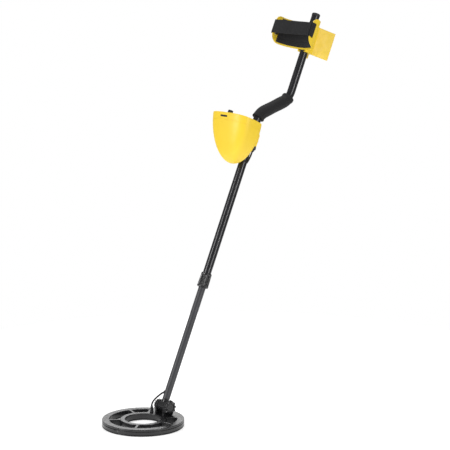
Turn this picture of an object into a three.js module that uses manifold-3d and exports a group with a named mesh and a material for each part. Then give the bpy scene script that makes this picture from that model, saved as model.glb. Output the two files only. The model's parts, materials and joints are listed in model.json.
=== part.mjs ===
// Hobby metal detector: a spoked search coil on a telescoping shaft with an S-bent handle.
// Units are millimetres and +Z is up. The origin is on the flat underside of the coil, straight
// below the tilt hinge. -Y is forward, over the coil, and +X is the user's left.
// Shaft pieces are drawn in a frame of their own: +z runs up the shaft from the hinge, and the
// control pod and the open side of the arm cuff face its -y side.

import * as THREE from 'three';
import { mergeVertices } from 'three/addons/utils/BufferGeometryUtils.js';
import Module from 'manifold-3d';

const wasm = await Module();
wasm.setup();

// ---------------------------------------------------------------- driving dimensions

const GAP = 0.3;                  // clearance between pieces that touch

const LEAN = THREE.MathUtils.degToRad(25);   // the shaft leans back this far from vertical
const HINGE_HEIGHT = 38;          // tilt hinge above the ground

const COIL_RADIUS = 107;
const COIL_HEIGHT = 18;
const COIL_FORWARD = 72;          // from the hinge to the coil's centre
const RIM_INNER = 88.5;           // inside radius of the outer ring
const HUB_RING_OUTER = 60;
const HUB_RING_INNER = 47;
const SPOKE_WIDTH = 7;
const COVER_THICKNESS = 2.5;
const EAR_RADIUS = 15;
const EAR_INNER = 11.5;
const EAR_OUTER = 17.5;
const BOLT_RADIUS = 4;
const KNOB_RADIUS = 19.4;
const GLAND = { x: -28.8, y: -16.7, height: 18 };   // the cable leaves the coil here
const ARC_STEPS = 8;              // points on each fifth of the coil's circles

const LOWER_RADIUS = 9.5;         // lower stem, outside
const LOWER_BORE = 8.2;
const LOWER_START = 19;           // ends of each tube, measured up the shaft from the hinge
const LOWER_END = 500;
const STEM_PORT = 35;             // the coil cable enters the lower stem here
const TUBE_RADIUS = 11;           // S-shaped main tube, outside
const TUBE_BORE = 9.8;
const TUBE_START = 356;
const TUBE_END = 1135.5;
const TUBE_PORT = 684;            // the cable to the pod leaves the main tube here
const LOCK_START = 328;           // twist lock
const LOCK_LENGTH = 40;
const LOCK_RADIUS = 14.6;

const HANDLE_START = 817;         // the two bends of the handle, measured along the shaft
const HANDLE_LENGTH = 119.2;
const HANDLE_ANGLE = THREE.MathUtils.degToRad(49.4);
const BEND_RADIUS = 50;
const GRIP_RADIUS = 16.5;
const ARM_OFFSET = HANDLE_LENGTH * Math.sin(HANDLE_ANGLE);   // the forearm tube runs this far back

const POD_RIM = 782;              // control pod: a half egg, open towards the user
const POD_DEPTH = 118.5;
const POD_HALF_WIDTH = 69.8;
const POD_HALF_DEPTH = 48;
const POD_CENTRE = 69.7;          // centre of the rim, forward of the tube
const POD_SHEAR = 0.23;           // the nose tucks back towards the tube
const POD_POINT = 1.1;            // 1 is an elliptical nose, and more is a more pointed one
const POD_WALL = 2.5;
const BEZEL_HEIGHT = 19;
const PANEL_DEPTH = 4.6;          // the control panel lies this far below the rim
const PANEL_THICKNESS = 2.4;
const BATTERY_DOOR = { low: 40, high: 88, near: -34, far: -70 };   // low and high are depths
const JACK_SLOT = { x: -5, halfWidth: 13, low: 12.7, high: 7.9 };

const SADDLE_LOW = 728;           // bracket between the pod and the tube
const SADDLE_HIGH = 762;
const CLAMP_SCREWS = [-15.5, 15.5];
const CLAMP_HEIGHT = (SADDLE_LOW + SADDLE_HIGH) / 2;
const SOCKET_X = 24;
const SOCKET_Y = -3;
const CABLE_RADIUS = 2.25;

// Places of the controls, as x and y on the panel.
const METER = { x: 0, y: -66, width: 58, height: 28 };
const TUNING_KNOBS = [['discrimination', 37, -88], ['sensitivity', -37, -88]];
const POWER_KNOB = { x: 0, y: -101 };
const BUTTON = { x: 38, y: -60 };
const SPEAKER = { x: 0, y: -40.5, radius: 9.4 };

// The loop of cable that gives the coil room to tilt, in the object's own frame.
const COIL_CABLE_ROUTE = [
  [-28.8, -16.7, 36.7], [-28.6, -16.1, 40.3], [-28.2, -14.6, 43.8], [-27.5, -12.4, 47.3],
  [-26.5, -9.5, 50.7], [-25.4, -6.2, 54], [-24, -2.6, 57.1], [-22.5, 1, 60], [-21.1, 4.4, 62.5],
  [-19.6, 8, 65], [-17.8, 11.4, 67.3], [-15.6, 13.7, 69], [-14.1, 14.5, 69.5], [-12.6, 14.8, 69.7],
];

const CUFF_MIDDLE = 1063.5;       // arm cuff
const CUFF_HALF_WIDTH = 71;
const CUFF_WALL = 3.2;
const CUFF_TOP = 70;              // wing tips, above the forearm tube's axis
const CUFF_SPRING = 58;           // height at which the round bottom turns into straight wings
const CUFF_FLOOR = 12.6;
const CUFF_LOW = -30;             // ends of the cuff, along the tube from its middle
const CUFF_HIGH = 45;
const WING_LOW_ROUNDING = 30;     // corners of the wings, seen from the side
const WING_HIGH_ROUNDING = 16;
const STRAP_WIDTH = 38;
const STRAP_CENTRE = 11;
const STRAP_THICKNESS = 2;
const STRAP_SLACK = 1.5;          // the strap stands this far off the wings
const SLOT_LOW = 56.5;            // slots in the wings for the strap
const SLOT_HIGH = 62;

// ---------------------------------------------------------------- materials

function material(color, roughness, metalness = 0) {
  return new THREE.MeshStandardMaterial({ color, roughness, metalness });
}

const BLACK_PLASTIC = material(0x2b2b2d, 0.5);
const GLOSS_BLACK = material(0x1b1c1f, 0.25);
const BLACK_RUBBER = material(0x202022, 0.85);
const FOAM = material(0x262627, 0.95);
const WEBBING = material(0x1e1f21, 0.9);
const YELLOW = material(0xf9cf2c, 0.35);
const PANEL_GREY = material(0x3a3c40, 0.55);
const STEEL = material(0xb8bbc0, 0.3, 1);
const COPPER = material(0xb87333, 0.4, 1);
const CLEAR = material(0xdfe9ee, 0.05);
const DIAL_WHITE = material(0xf2f0e6, 0.6);
const BOARD_GREEN = material(0x1f6b3a, 0.5);
const BATTERY_CASE = material(0x565a60, 0.4);

// ---------------------------------------------------------------- building helpers

const detector = new THREE.Group();
const shaft = new THREE.Group();
shaft.position.z = HINGE_HEIGHT;
shaft.rotation.x = -LEAN;
detector.add(shaft);

function piece(parent, name, geometry, look) {
  const mesh = new THREE.Mesh(geometry, look);
  mesh.name = name;
  parent.add(mesh);
  return mesh;
}

function solid(geometry) {
  const bare = geometry.clone();
  bare.deleteAttribute('normal');
  bare.deleteAttribute('uv');
  const merged = mergeVertices(bare, 1e-4);
  return new wasm.Manifold(new wasm.Mesh({
    numProp: 3,
    vertProperties: new Float32Array(merged.attributes.position.array),
    triVerts: new Uint32Array(merged.index.array),
  }));
}

function geometryOf(shape) {
  const mesh = shape.getMesh();
  const geometry = new THREE.BufferGeometry();
  geometry.setAttribute('position', new THREE.BufferAttribute(mesh.vertProperties, 3));
  geometry.setIndex(new THREE.BufferAttribute(mesh.triVerts, 1));
  geometry.computeVertexNormals();
  return geometry;
}

function cut(geometry, ...tools) {
  return geometryOf(tools.reduce((shape, tool) => shape.subtract(solid(tool)), solid(geometry)));
}

function join(geometry, ...others) {
  return geometryOf(others.reduce((shape, other) => shape.add(solid(other)), solid(geometry)));
}

function common(geometry, other) {
  return geometryOf(solid(geometry).intersect(solid(other)));
}

// A block from its lowest and highest corners.
function block(low, high) {
  const size = high.map((value, i) => value - low[i]);
  const centre = high.map((value, i) => (value + low[i]) / 2);
  return new THREE.BoxGeometry(...size).translate(...centre);
}

// A round bar along z, or along x or y, from one place on that axis to another.
function bar(axis, radius, from, to, across = [0, 0], sides = 24) {
  const geometry = new THREE.CylinderGeometry(radius, radius, to - from, sides);
  const middle = (from + to) / 2;
  if (axis === 'x') return geometry.rotateZ(Math.PI / 2).translate(middle, ...across);
  if (axis === 'y') return geometry.translate(across[0], middle, across[1]);
  return geometry.rotateX(Math.PI / 2).translate(...across, middle);
}

// A solid of revolution about z, from a closed outline of [radius, height] pairs.
function turned(outline, sides = 32) {
  const points = [...outline, outline[0]].map(([r, z]) => new THREE.Vector2(r, z));
  return new THREE.LatheGeometry(points, sides).rotateX(Math.PI / 2);
}

function ring(outer, inner, from, to, sides = 32) {
  return turned([[inner, from], [outer, from], [outer, to], [inner, to]], sides);
}

// Skins a row of point rings that all have the same count, and closes both ends flat.
// With hollow set, the last ring joins back to the first, as for the wall of a tube.
function loft(rings, hollow = false) {
  const sides = rings[0].length;
  const points = rings.flat();
  const faces = [];
  const last = hollow ? rings.length : rings.length - 1;
  for (let i = 0; i < last; i++) {
    const next = (i + 1) % rings.length;
    for (let j = 0; j < sides; j++) {
      const k = (j + 1) % sides;
      const [a, b] = [i * sides + j, i * sides + k];
      const [c, d] = [next * sides + j, next * sides + k];
      faces.push(a, b, d, a, d, c);
    }
  }
  if (!hollow) {
    for (const [start, flip] of [[0, true], [(rings.length - 1) * sides, false]]) {
      const middle = points.length;
      const centre = new THREE.Vector3();
      for (let j = 0; j < sides; j++) centre.add(points[start + j]);
      points.push(centre.divideScalar(sides));
      for (let j = 0; j < sides; j++) {
        const [a, b] = [start + j, start + (j + 1) % sides];
        faces.push(...(flip ? [middle, b, a] : [middle, a, b]));
      }
    }
  }
  const geometry = new THREE.BufferGeometry().setFromPoints(points);
  geometry.setIndex(faces);
  geometry.computeVertexNormals();
  return geometry;
}

// A round outline with evenly spaced scallops, for knobs and nuts.
function scalloped(radius, depth, count, samples) {
  const points = [];
  for (let i = 0; i < samples; i++) {
    const angle = (i / samples) * 2 * Math.PI;
    const r = radius - depth * (0.5 - 0.5 * Math.cos(count * angle));
    points.push(new THREE.Vector2(r * Math.cos(angle), r * Math.sin(angle)));
  }
  return new THREE.Shape(points);
}

// A full circle as five arcs, so that it gets as many points per degree as the pockets do.
function fullCircle(path, radius, clockwise) {
  const step = (clockwise ? -2 : 2) * Math.PI / 5;
  for (let i = 0; i < 5; i++) path.absarc(0, 0, radius, i * step, (i + 1) * step, clockwise);
  return path;
}

function extrude(shape, depth, bevel = 0, curveSegments = 12) {
  const geometry = new THREE.ExtrudeGeometry(shape, {
    depth: depth - 2 * bevel,
    curveSegments,
    bevelEnabled: bevel > 0,
    bevelThickness: bevel,
    bevelSize: bevel,
    bevelOffset: -bevel,
    bevelSegments: 1,
  });
  return geometry.translate(0, 0, bevel);
}

// A plain cable through hand-placed points.
function cable(route, radius, steps) {
  const section = new THREE.Shape().absarc(0, 0, radius, 0, 2 * Math.PI);
  const path = new THREE.CatmullRomCurve3(route.map((p) => new THREE.Vector3(...p)));
  return new THREE.ExtrudeGeometry(section, { steps, curveSegments: 4, extrudePath: path });
}

// ---------------------------------------------------------------- search coil

function coilOutline() {
  const outline = fullCircle(new THREE.Shape(), COIL_RADIUS, false);
  outline.holes.push(fullCircle(new THREE.Path(), HUB_RING_INNER, true));
  const rear = Math.PI / 2;
  const spokes = [0.2, 0.4, 0.6, 0.8].map((turn) => rear + turn * 2 * Math.PI);
  const edges = [rear + 0.1 * 2 * Math.PI, ...spokes, rear + 0.9 * 2 * Math.PI];
  for (let i = 0; i < edges.length - 1; i++) {
    outline.holes.push(pocket(edges[i], edges[i + 1]));
  }
  return outline;
}

// The opening between two spokes, bounded by the outer and the hub ring.
function pocket(from, to) {
  const inner = SPOKE_WIDTH / 2 / HUB_RING_OUTER;
  const outer = SPOKE_WIDTH / 2 / RIM_INNER;
  const path = new THREE.Path();
  path.absarc(0, 0, RIM_INNER, from + outer, to - outer, false);
  path.absarc(0, 0, HUB_RING_OUTER, to - inner, from + inner, true);
  path.closePath();
  return path;
}

function coilEar(side) {
  const outline = new THREE.Shape();
  const foot = COIL_HEIGHT - 1;
  outline.moveTo(-EAR_RADIUS, foot);
  outline.lineTo(EAR_RADIUS, foot);
  outline.lineTo(EAR_RADIUS, HINGE_HEIGHT);
  outline.absarc(0, HINGE_HEIGHT, EAR_RADIUS, 0, Math.PI);
  outline.lineTo(-EAR_RADIUS, foot);
  const ear = extrude(outline, EAR_OUTER - EAR_INNER, 0.8, 8);
  ear.rotateY(Math.PI / 2).rotateX(Math.PI / 2);
  return ear.translate(side > 0 ? EAR_INNER : -EAR_OUTER, 0, 0);
}

function searchCoil() {
  const seam = COVER_THICKNESS + GAP;
  const body = extrude(coilOutline(), COIL_HEIGHT - seam, 1, ARC_STEPS);
  body.translate(0, -COIL_FORWARD, seam);
  const channels = [[104, 91.5], [58.2, 49]].map(([outer, inner]) =>
    ring(outer, inner, 0, COIL_HEIGHT - 3.5, 48).translate(0, -COIL_FORWARD, 0));
  const boltHole = bar('x', BOLT_RADIUS + 0.4, -30, 30, [0, HINGE_HEIGHT], 16);
  const shell = join(body, coilEar(1), coilEar(-1));
  piece(detector, 'coil_shell', cut(shell, ...channels, boltHole), BLACK_PLASTIC);

  const cover = extrude(coilOutline(), COVER_THICKNESS, 0, ARC_STEPS);
  piece(detector, 'coil_cover', cover.translate(0, -COIL_FORWARD, 0), BLACK_PLASTIC);

  const windings = [['transmit_winding', 97.7], ['receive_winding', 53.6]];
  for (const [name, radius] of windings) {
    const coil = ring(radius + 3.5, radius - 3.5, 4, 11, 48);
    piece(detector, name, coil.translate(0, -COIL_FORWARD, 0), COPPER);
  }
}

// ---------------------------------------------------------------- tilt hinge

function tiltHinge() {
  const head = extrude(scalloped(15.5, 1.2, 14, 84), 5, 0.8).rotateY(Math.PI / 2);
  head.translate(-EAR_OUTER - GAP - 5, 0, HINGE_HEIGHT);
  const shank = bar('x', BOLT_RADIUS, -EAR_OUTER - 1, 29, [0, HINGE_HEIGHT], 16);
  piece(detector, 'hinge_bolt', join(head, shank), BLACK_PLASTIC);

  for (const [name, x] of [['hinge_washer_left', 10.75], ['hinge_washer_right', -10.75]]) {
    const washer = ring(13, BOLT_RADIUS + 0.4, -0.45, 0.45, 24).rotateY(Math.PI / 2);
    piece(detector, name, washer.translate(x, 0, HINGE_HEIGHT), BLACK_RUBBER);
  }

  const knob = extrude(scalloped(KNOB_RADIUS, 2.4, 10, 80), 12.5, 1.2);
  const thread = bar('z', BOLT_RADIUS + GAP, -1, 11.3, [0, 0], 16);
  const hand = cut(knob, thread).rotateY(Math.PI / 2);
  piece(detector, 'hinge_knob', hand.translate(EAR_OUTER + GAP, 0, HINGE_HEIGHT), BLACK_PLASTIC);

  const gland = turned([
    [0, 0], [5, 0], [5, 3], [4.3, 3.6], [3, GLAND.height], [0, GLAND.height],
  ], 20);
  gland.translate(GLAND.x, GLAND.y, COIL_HEIGHT + GAP);
  piece(detector, 'cable_gland', gland, BLACK_RUBBER);
}

// ---------------------------------------------------------------- lower stem

function lowerStem() {
  const port = bar('x', 4, -20, 0, [0, STEM_PORT], 16);
  const tube = ring(LOWER_RADIUS, LOWER_BORE, LOWER_START, LOWER_END, 28);
  piece(shaft, 'lower_stem', cut(tube, port), GLOSS_BLACK);

  const eye = bar('x', 13, -10, 10, [0, 0], 28);
  const neck = bar('z', LOWER_RADIUS, 0, LOWER_START - GAP, [0, 0], 24);
  const spigot = bar('z', LOWER_BORE - GAP, 0, STEM_PORT - 6, [0, 0], 24);
  const pivot = bar('x', BOLT_RADIUS + 0.4, -20, 20, [0, 0], 16);
  piece(shaft, 'stem_foot', cut(join(eye, neck, spigot), pivot), BLACK_PLASTIC);

  const flange = bar('x', 5.6, -LOWER_RADIUS - 2.6, -LOWER_RADIUS - GAP, [0, STEM_PORT], 16);
  const neckOfGrommet = bar('x', 3.7, -LOWER_RADIUS - 1, -LOWER_BORE + 0.6, [0, STEM_PORT], 16);
  piece(shaft, 'stem_grommet', join(flange, neckOfGrommet), BLACK_RUBBER);

  const bush = turned([
    [6, 482], [7.9, 482], [7.9, LOWER_END + GAP], [LOWER_RADIUS, LOWER_END + GAP],
    [LOWER_RADIUS, LOWER_END + 8], [6, LOWER_END + 8],
  ], 24);
  piece(shaft, 'stem_bush', bush, BLACK_PLASTIC);

  const route = [
    [-5.8, 0, STEM_PORT], [-4, 0, 36.5], [-1, 0, 42], [0, 0, 56], [0, 0, 200], [0, 0, 335],
  ];
  piece(shaft, 'stem_lead', cable(route, CABLE_RADIUS, 12), BLACK_RUBBER);
}

// ---------------------------------------------------------------- twist lock and S-shaped tube

function twistLock() {
  const nut = extrude(scalloped(LOCK_RADIUS, 1, 14, 84), LOCK_LENGTH, 1);
  nut.translate(0, 0, LOCK_START);
  const chamber = bar('z', 12.7, LOCK_START + 3, LOCK_START + LOCK_LENGTH + 1, [0, 0], 32);
  const mouth = bar('z', LOWER_RADIUS + 0.4, LOCK_START - 1, LOCK_START + 4, [0, 0], 32);
  piece(shaft, 'lock_nut', cut(nut, chamber, mouth), BLACK_PLASTIC);

  const ferrule = turned([
    [9.85, LOCK_START + 14], [12.3, LOCK_START + 14],
    [12.3, LOCK_START + 38], [TUBE_RADIUS + GAP, LOCK_START + 38],
    [TUBE_RADIUS + GAP, TUBE_START - GAP], [9.85, TUBE_START - GAP],
  ], 28);
  piece(shaft, 'lock_ferrule', ferrule, BLACK_PLASTIC);

  const collet = ring(12.2, 9.8, LOCK_START + 3.6, LOCK_START + 13.6, 28);
  const split = block([-1, 0, LOCK_START], [1, 20, LOCK_START + 20]);
  piece(shaft, 'lock_collet', cut(collet, split), BLACK_RUBBER);
}

// One end-to-end list of places along the middle of the S-shaped tube. Each has its y and z,
// and the angle by which the tube leans back from the shaft there.
function tubeStations(bendSteps) {
  const tangent = BEND_RADIUS * Math.tan(HANDLE_ANGLE / 2);
  const stations = [{ y: 0, z: TUBE_START, lean: 0 }];
  const bend = (y, z, from, to) => {
    const turn = Math.sign(to - from);
    for (let i = 0; i <= bendSteps; i++) {
      const lean = from + (to - from) * (i / bendSteps);
      stations.push({
        y: y + BEND_RADIUS * turn * (Math.cos(from) - Math.cos(lean)),
        z: z + BEND_RADIUS * turn * (Math.sin(lean) - Math.sin(from)),
        lean,
      });
    }
  };
  bend(0, HANDLE_START - tangent, 0, HANDLE_ANGLE);
  const second = HANDLE_LENGTH - tangent;
  bend(second * Math.sin(HANDLE_ANGLE), HANDLE_START + second * Math.cos(HANDLE_ANGLE),
    HANDLE_ANGLE, 0);
  stations.push({ y: ARM_OFFSET, z: TUBE_END, lean: 0 });
  return stations;
}

function roundRing({ y, z, lean }, radius, sides) {
  const points = [];
  for (let i = 0; i < sides; i++) {
    const angle = (i / sides) * 2 * Math.PI;
    const across = radius * Math.sin(angle);
    points.push(new THREE.Vector3(
      radius * Math.cos(angle), y + across * Math.cos(lean), z - across * Math.sin(lean)));
  }
  return points;
}

// The wall between an outer and an inner radius, along a list of stations.
function hollowSweep(stations, outerRadius, innerRadius, sides) {
  const outer = stations.map((s, i) => roundRing(s, outerRadius(i / (stations.length - 1)), sides));
  const inner = stations.map((s) => roundRing(s, innerRadius, sides));
  return loft([...outer, ...inner.reverse()], true);
}

function mainTube() {
  const tube = hollowSweep(tubeStations(6), () => TUBE_RADIUS, TUBE_BORE, 24);
  const port = bar('x', 4, 0, 20, [0, TUBE_PORT], 16);
  piece(shaft, 'main_tube', cut(tube, port, cuffBoltHole()), GLOSS_BLACK);

  const plug = turned([
    [0, TUBE_END - 12], [TUBE_BORE - GAP, TUBE_END - 12], [TUBE_BORE - GAP, TUBE_END + GAP],
    [TUBE_RADIUS + 0.4, TUBE_END + GAP], [TUBE_RADIUS + 0.4, TUBE_END + 5],
    [TUBE_RADIUS - 2.5, TUBE_END + 8], [0, TUBE_END + 8],
  ], 28);
  piece(shaft, 'end_plug', plug.translate(0, ARM_OFFSET, 0), BLACK_RUBBER);

  // The foam covers the handle from inside one bend to the middle of the other.
  const steps = 6;
  const covered = tubeStations(steps).slice(1 + steps / 3, 2 + steps + steps / 2 + 1);
  const flare = (at) => GRIP_RADIUS + 1.6 * (2 * at - 1) ** 4;
  const handle = densify(covered);
  piece(shaft, 'foam_grip', hollowSweep(handle, flare, TUBE_RADIUS + GAP, 24), FOAM);

  const flange = bar('x', 5.6, TUBE_RADIUS + GAP, TUBE_RADIUS + 2.6, [0, TUBE_PORT], 16);
  const neck = bar('x', 3.7, TUBE_BORE - 0.6, TUBE_RADIUS + 1, [0, TUBE_PORT], 16);
  piece(shaft, 'tube_grommet', join(flange, neck), BLACK_RUBBER);

  const coiled = bar('z', 5, 520, 675, [0, 0], 12);
  piece(shaft, 'coiled_lead', coiled, BLACK_RUBBER);
}

// Adds two stations in the straight of the handle, so that the foam can swell along it.
function densify(stations) {
  const longest = stations.findIndex((s, i) =>
    i > 0 && Math.hypot(s.y - stations[i - 1].y, s.z - stations[i - 1].z) > 30);
  const [a, b] = [stations[longest - 1], stations[longest]];
  const between = [0.25, 0.5, 0.75].map((t) => ({
    y: a.y + (b.y - a.y) * t,
    z: a.z + (b.z - a.z) * t,
    lean: a.lean,
  }));
  return [...stations.slice(0, longest), ...between, ...stations.slice(longest)];
}

// ---------------------------------------------------------------- control pod

// One level of the pod's half egg: a rounded square, inset from the outside surface.
function podRing(angle, inset, lift = 0) {
  const sides = 36;
  const below = POD_DEPTH * Math.sin(angle) ** POD_POINT;
  const points = [];
  for (let i = 0; i < sides; i++) {
    const turn = (i / sides) * 2 * Math.PI;
    const round = (value) => Math.sign(value) * Math.abs(value) ** (2 / 3);
    points.push(new THREE.Vector3(
      (POD_HALF_WIDTH * Math.cos(angle) - inset) * round(Math.cos(turn)),
      (POD_HALF_DEPTH * Math.cos(angle) - inset) * round(Math.sin(turn))
        - POD_CENTRE + POD_SHEAR * below,
      POD_RIM - below + lift));
  }
  return points;
}

// The half egg as a solid: its levels run up from the nose to the rim.
function podSolid(inset, top = 0) {
  const levels = 8;
  const steepest = 0.455 * Math.PI;
  const rings = [];
  for (let i = levels; i >= 0; i--) rings.push(podRing((steepest * i) / levels, inset));
  if (top > 0) rings.push(podRing(0, inset, top));
  return loft(rings);
}

function podSlice(shape, deepest, shallowest) {
  return common(shape, block(
    [-100, -200, POD_RIM - deepest], [100, 60, POD_RIM - shallowest]));
}

// A flat plate with the outline of the pod's rim, between two depths below the rim.
function podPlate(inset, deepest, shallowest) {
  const low = podRing(0, inset, -deepest);
  const high = podRing(0, inset, -shallowest);
  return loft([low, high]);
}

function doorRegion(margin) {
  return block(
    [-100, BATTERY_DOOR.far + margin, POD_RIM - BATTERY_DOOR.high + margin],
    [-20, BATTERY_DOOR.near - margin, POD_RIM - BATTERY_DOOR.low - margin]);
}

function jackRegion(margin) {
  return block(
    [JACK_SLOT.x - JACK_SLOT.halfWidth + margin, -160, POD_RIM - JACK_SLOT.low + margin],
    [JACK_SLOT.x + JACK_SLOT.halfWidth - margin, -106, POD_RIM - JACK_SLOT.high - margin]);
}

function pod() {
  const shell = cut(podSolid(0), podSolid(POD_WALL, 5));
  const hull = podSlice(shell, POD_DEPTH + 10, BEZEL_HEIGHT + GAP);
  const screwHoles = CLAMP_SCREWS.map((x) => bar('y', 1.9, -30, 5, [x, CLAMP_HEIGHT], 12));
  piece(shaft, 'pod_hull', cut(hull, doorRegion(0), ...screwHoles), YELLOW);
  piece(shaft, 'battery_door', common(hull, doorRegion(0.4)), YELLOW);

  const ledge = PANEL_DEPTH + PANEL_THICKNESS + GAP;
  const band = cut(podSlice(podSolid(0), BEZEL_HEIGHT, 0),
    podPlate(3, ledge, -5),
    podPlate(7.5, BEZEL_HEIGHT + 5, -5),
    podPlate(3.6, BEZEL_HEIGHT + 5, ledge + 3));
  piece(shaft, 'pod_bezel', cut(band, jackRegion(0)), YELLOW);
  piece(shaft, 'jack_cover', common(podSlice(shell, BEZEL_HEIGHT, 0), jackRegion(GAP)), BLACK_RUBBER);
}

// ---------------------------------------------------------------- bracket that holds the pod

function podBracket() {
  const bore = bar('z', TUBE_RADIUS + GAP, SADDLE_LOW - 1, SADDLE_HIGH + 1, [0, 0], 32);
  const holes = CLAMP_SCREWS.map((x) => bar('y', 1.9, -40, 40, [x, CLAMP_HEIGHT], 12));
  const socketHole = bar('z', 4.6, SADDLE_LOW - 1, SADDLE_LOW + 12, [SOCKET_X, SOCKET_Y], 20);
  const saddle = block([-20, -30, SADDLE_LOW], [29.5, -GAP, SADDLE_HIGH]);
  const fitted = cut(saddle, bore, podSolid(-GAP), ...holes, socketHole);
  piece(shaft, 'pod_saddle', largestBody(fitted), YELLOW);

  const clamp = extrude(clampOutline(), SADDLE_HIGH - SADDLE_LOW, 0.8, 8);
  clamp.translate(0, 0, SADDLE_LOW);
  piece(shaft, 'pod_clamp', cut(clamp, bore, ...holes), YELLOW);

  CLAMP_SCREWS.forEach((x, i) => {
    const head = bar('y', 3, 10 + GAP, 13, [x, CLAMP_HEIGHT], 12);
    const shank = bar('y', 1.5, -11, 12, [x, CLAMP_HEIGHT], 12);
    piece(shaft, `clamp_screw_${i + 1}`, join(head, shank), STEEL);
  });

  const socket = turned([
    [0, 4], [3.4, 4], [3.4, -GAP], [4.3, -GAP], [4.3, 11], [0, 11],
  ].map(([r, z]) => [r, SADDLE_LOW + z]), 20);
  piece(shaft, 'coil_socket', socket.translate(SOCKET_X, SOCKET_Y, 0), STEEL);

  const plug = turned([
    [0, -16], [3.2, -16], [5, -11.5], [5, -9.9], [3.6, -9.9], [3.6, -1], [3, -1], [3, 3.4], [0, 3.4],
  ].map(([r, z]) => [r, SADDLE_LOW + z]), 20);
  piece(shaft, 'cable_plug', plug.translate(SOCKET_X, SOCKET_Y, 0), BLACK_RUBBER);

  const sleeve = extrude(scalloped(7, 0.6, 12, 48), 9, 0.4);
  const nut = cut(sleeve, bar('z', 4, -1, 10, [0, 0], 20));
  piece(shaft, 'plug_nut', nut.translate(SOCKET_X, SOCKET_Y, SADDLE_LOW - 9.6), BLACK_PLASTIC);

  const route = [
    [24, -3, 711.7], [23.9, -3, 707], [23.3, -2.8, 702], [21.9, -2.2, 697],
    [19.6, -1.3, 690.4], [17.6, -0.6, 686.4], [15.8, -0.1, 684.4], [14.1, 0, 684],
  ];
  piece(shaft, 'pod_cable', cable(route, CABLE_RADIUS, 12), BLACK_RUBBER);
}

// The rear half of the clamp: a rounded block behind the tube.
function clampOutline() {
  const outline = new THREE.Shape();
  outline.moveTo(-20, GAP);
  outline.lineTo(20, GAP);
  outline.lineTo(20, 10);
  outline.lineTo(12, 10);
  outline.lineTo(7, 15.5);
  outline.lineTo(-7, 15.5);
  outline.lineTo(-12, 10);
  outline.lineTo(-20, 10);
  return outline;
}

function largestBody(geometry) {
  const bodies = solid(geometry).decompose();
  bodies.sort((a, b) => b.volume() - a.volume());
  return geometryOf(bodies[0]);
}

// ---------------------------------------------------------------- control panel and electronics

// The height of a place that lies this deep under the pod's rim.
function at(depth) {
  return POD_RIM - depth;
}

function controlPanel() {
  const deepest = PANEL_DEPTH + PANEL_THICKNESS;
  const window = block(
    [METER.x - METER.width / 2, METER.y - METER.height / 2, at(20)],
    [METER.x + METER.width / 2, METER.y + METER.height / 2, at(0)]);
  const knobHoles = [...TUNING_KNOBS, ['power', POWER_KNOB.x, POWER_KNOB.y]].map(([, x, y]) =>
    bar('z', 4, at(20), at(0), [x, y], 16));
  const buttonHole = bar('z', 5, at(20), at(0), [BUTTON.x, BUTTON.y], 20);
  const slots = [-6, -3, 0, 3, 6].map((y) => {
    const half = Math.sqrt(SPEAKER.radius ** 2 - y ** 2) - 1.5;
    return block([-half, SPEAKER.y + y - 0.7, at(20)], [half, SPEAKER.y + y + 0.7, at(0)]);
  });
  const panel = cut(podPlate(3.4, deepest, PANEL_DEPTH), window, ...knobHoles, buttonHole, ...slots);
  piece(shaft, 'control_panel', panel, PANEL_GREY);

  for (const [name, x, y] of TUNING_KNOBS) {
    controlKnob(`${name}_knob`, x, y, 10, 7);
    potentiometer(`${name}_control`, x, y);
  }
  controlKnob('power_knob', POWER_KNOB.x, POWER_KNOB.y, 7, 14);
  potentiometer('power_control', POWER_KNOB.x, POWER_KNOB.y);

  const cap = bar('z', 4.7, at(deepest + 3), at(PANEL_DEPTH - 2), [BUTTON.x, BUTTON.y], 20);
  piece(shaft, 'pinpoint_button', cap, BLACK_RUBBER);

  const cone = ring(SPEAKER.radius, 3, at(deepest + 7), at(deepest + 1), 24);
  const back = bar('z', SPEAKER.radius - 1, at(deepest + 9), at(deepest + 5), [0, 0], 24);
  piece(shaft, 'speaker', join(cone, back).translate(SPEAKER.x, SPEAKER.y, 0), BLACK_PLASTIC);
}

function controlKnob(name, x, y, radius, height) {
  const grip = extrude(scalloped(radius, radius * 0.08, 12, 48), height, 0.8);
  const stem = bar('z', 3, -PANEL_THICKNESS - 0.6, 1, [0, 0], 16);
  const pointer = block([-0.7, 1, height - 1], [0.7, radius - 2, height + 0.4]);
  const knob = join(grip, stem, pointer);
  piece(shaft, name, knob.translate(x, y, at(PANEL_DEPTH - 0.6)), BLACK_PLASTIC);
}

function potentiometer(name, x, y) {
  const top = PANEL_DEPTH + PANEL_THICKNESS + 0.5;
  piece(shaft, name, bar('z', 8, at(top + 8), at(top), [x, y], 20), STEEL);
}

function meter() {
  const below = PANEL_DEPTH + PANEL_THICKNESS + GAP;
  const { x, y, width, height } = METER;
  const box = (halfX, halfY, deepest, shallowest) =>
    block([x - halfX, y - halfY, at(deepest)], [x + halfX, y + halfY, at(shallowest)]);
  const glass = box(width / 2 - GAP, height / 2 - GAP, below - 0.4, PANEL_DEPTH + 0.4);
  piece(shaft, 'meter_window', glass, CLEAR);

  const well = box(width / 2 - 0.6, height / 2 - 0.6, 23, below - 1);
  piece(shaft, 'meter_case', cut(box(width / 2 + 1, height / 2 + 1, 24.5, below), well), BLACK_PLASTIC);
  piece(shaft, 'meter_dial', box(width / 2 - 1.2, height / 2 - 1.2, 13.8, 13), DIAL_WHITE);
  piece(shaft, 'meter_movement', bar('z', 8, at(22.6), at(14.2), [x, y + 3], 20), COPPER);

  const hub = bar('z', 1.6, at(12.6), at(10.6), [0, 0], 12);
  const needle = block([-0.35, -19, at(12)], [0.35, 3, at(11.4)]);
  piece(shaft, 'meter_needle', join(hub, needle).translate(x, y + 9, 0), BLACK_PLASTIC);
}

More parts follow.
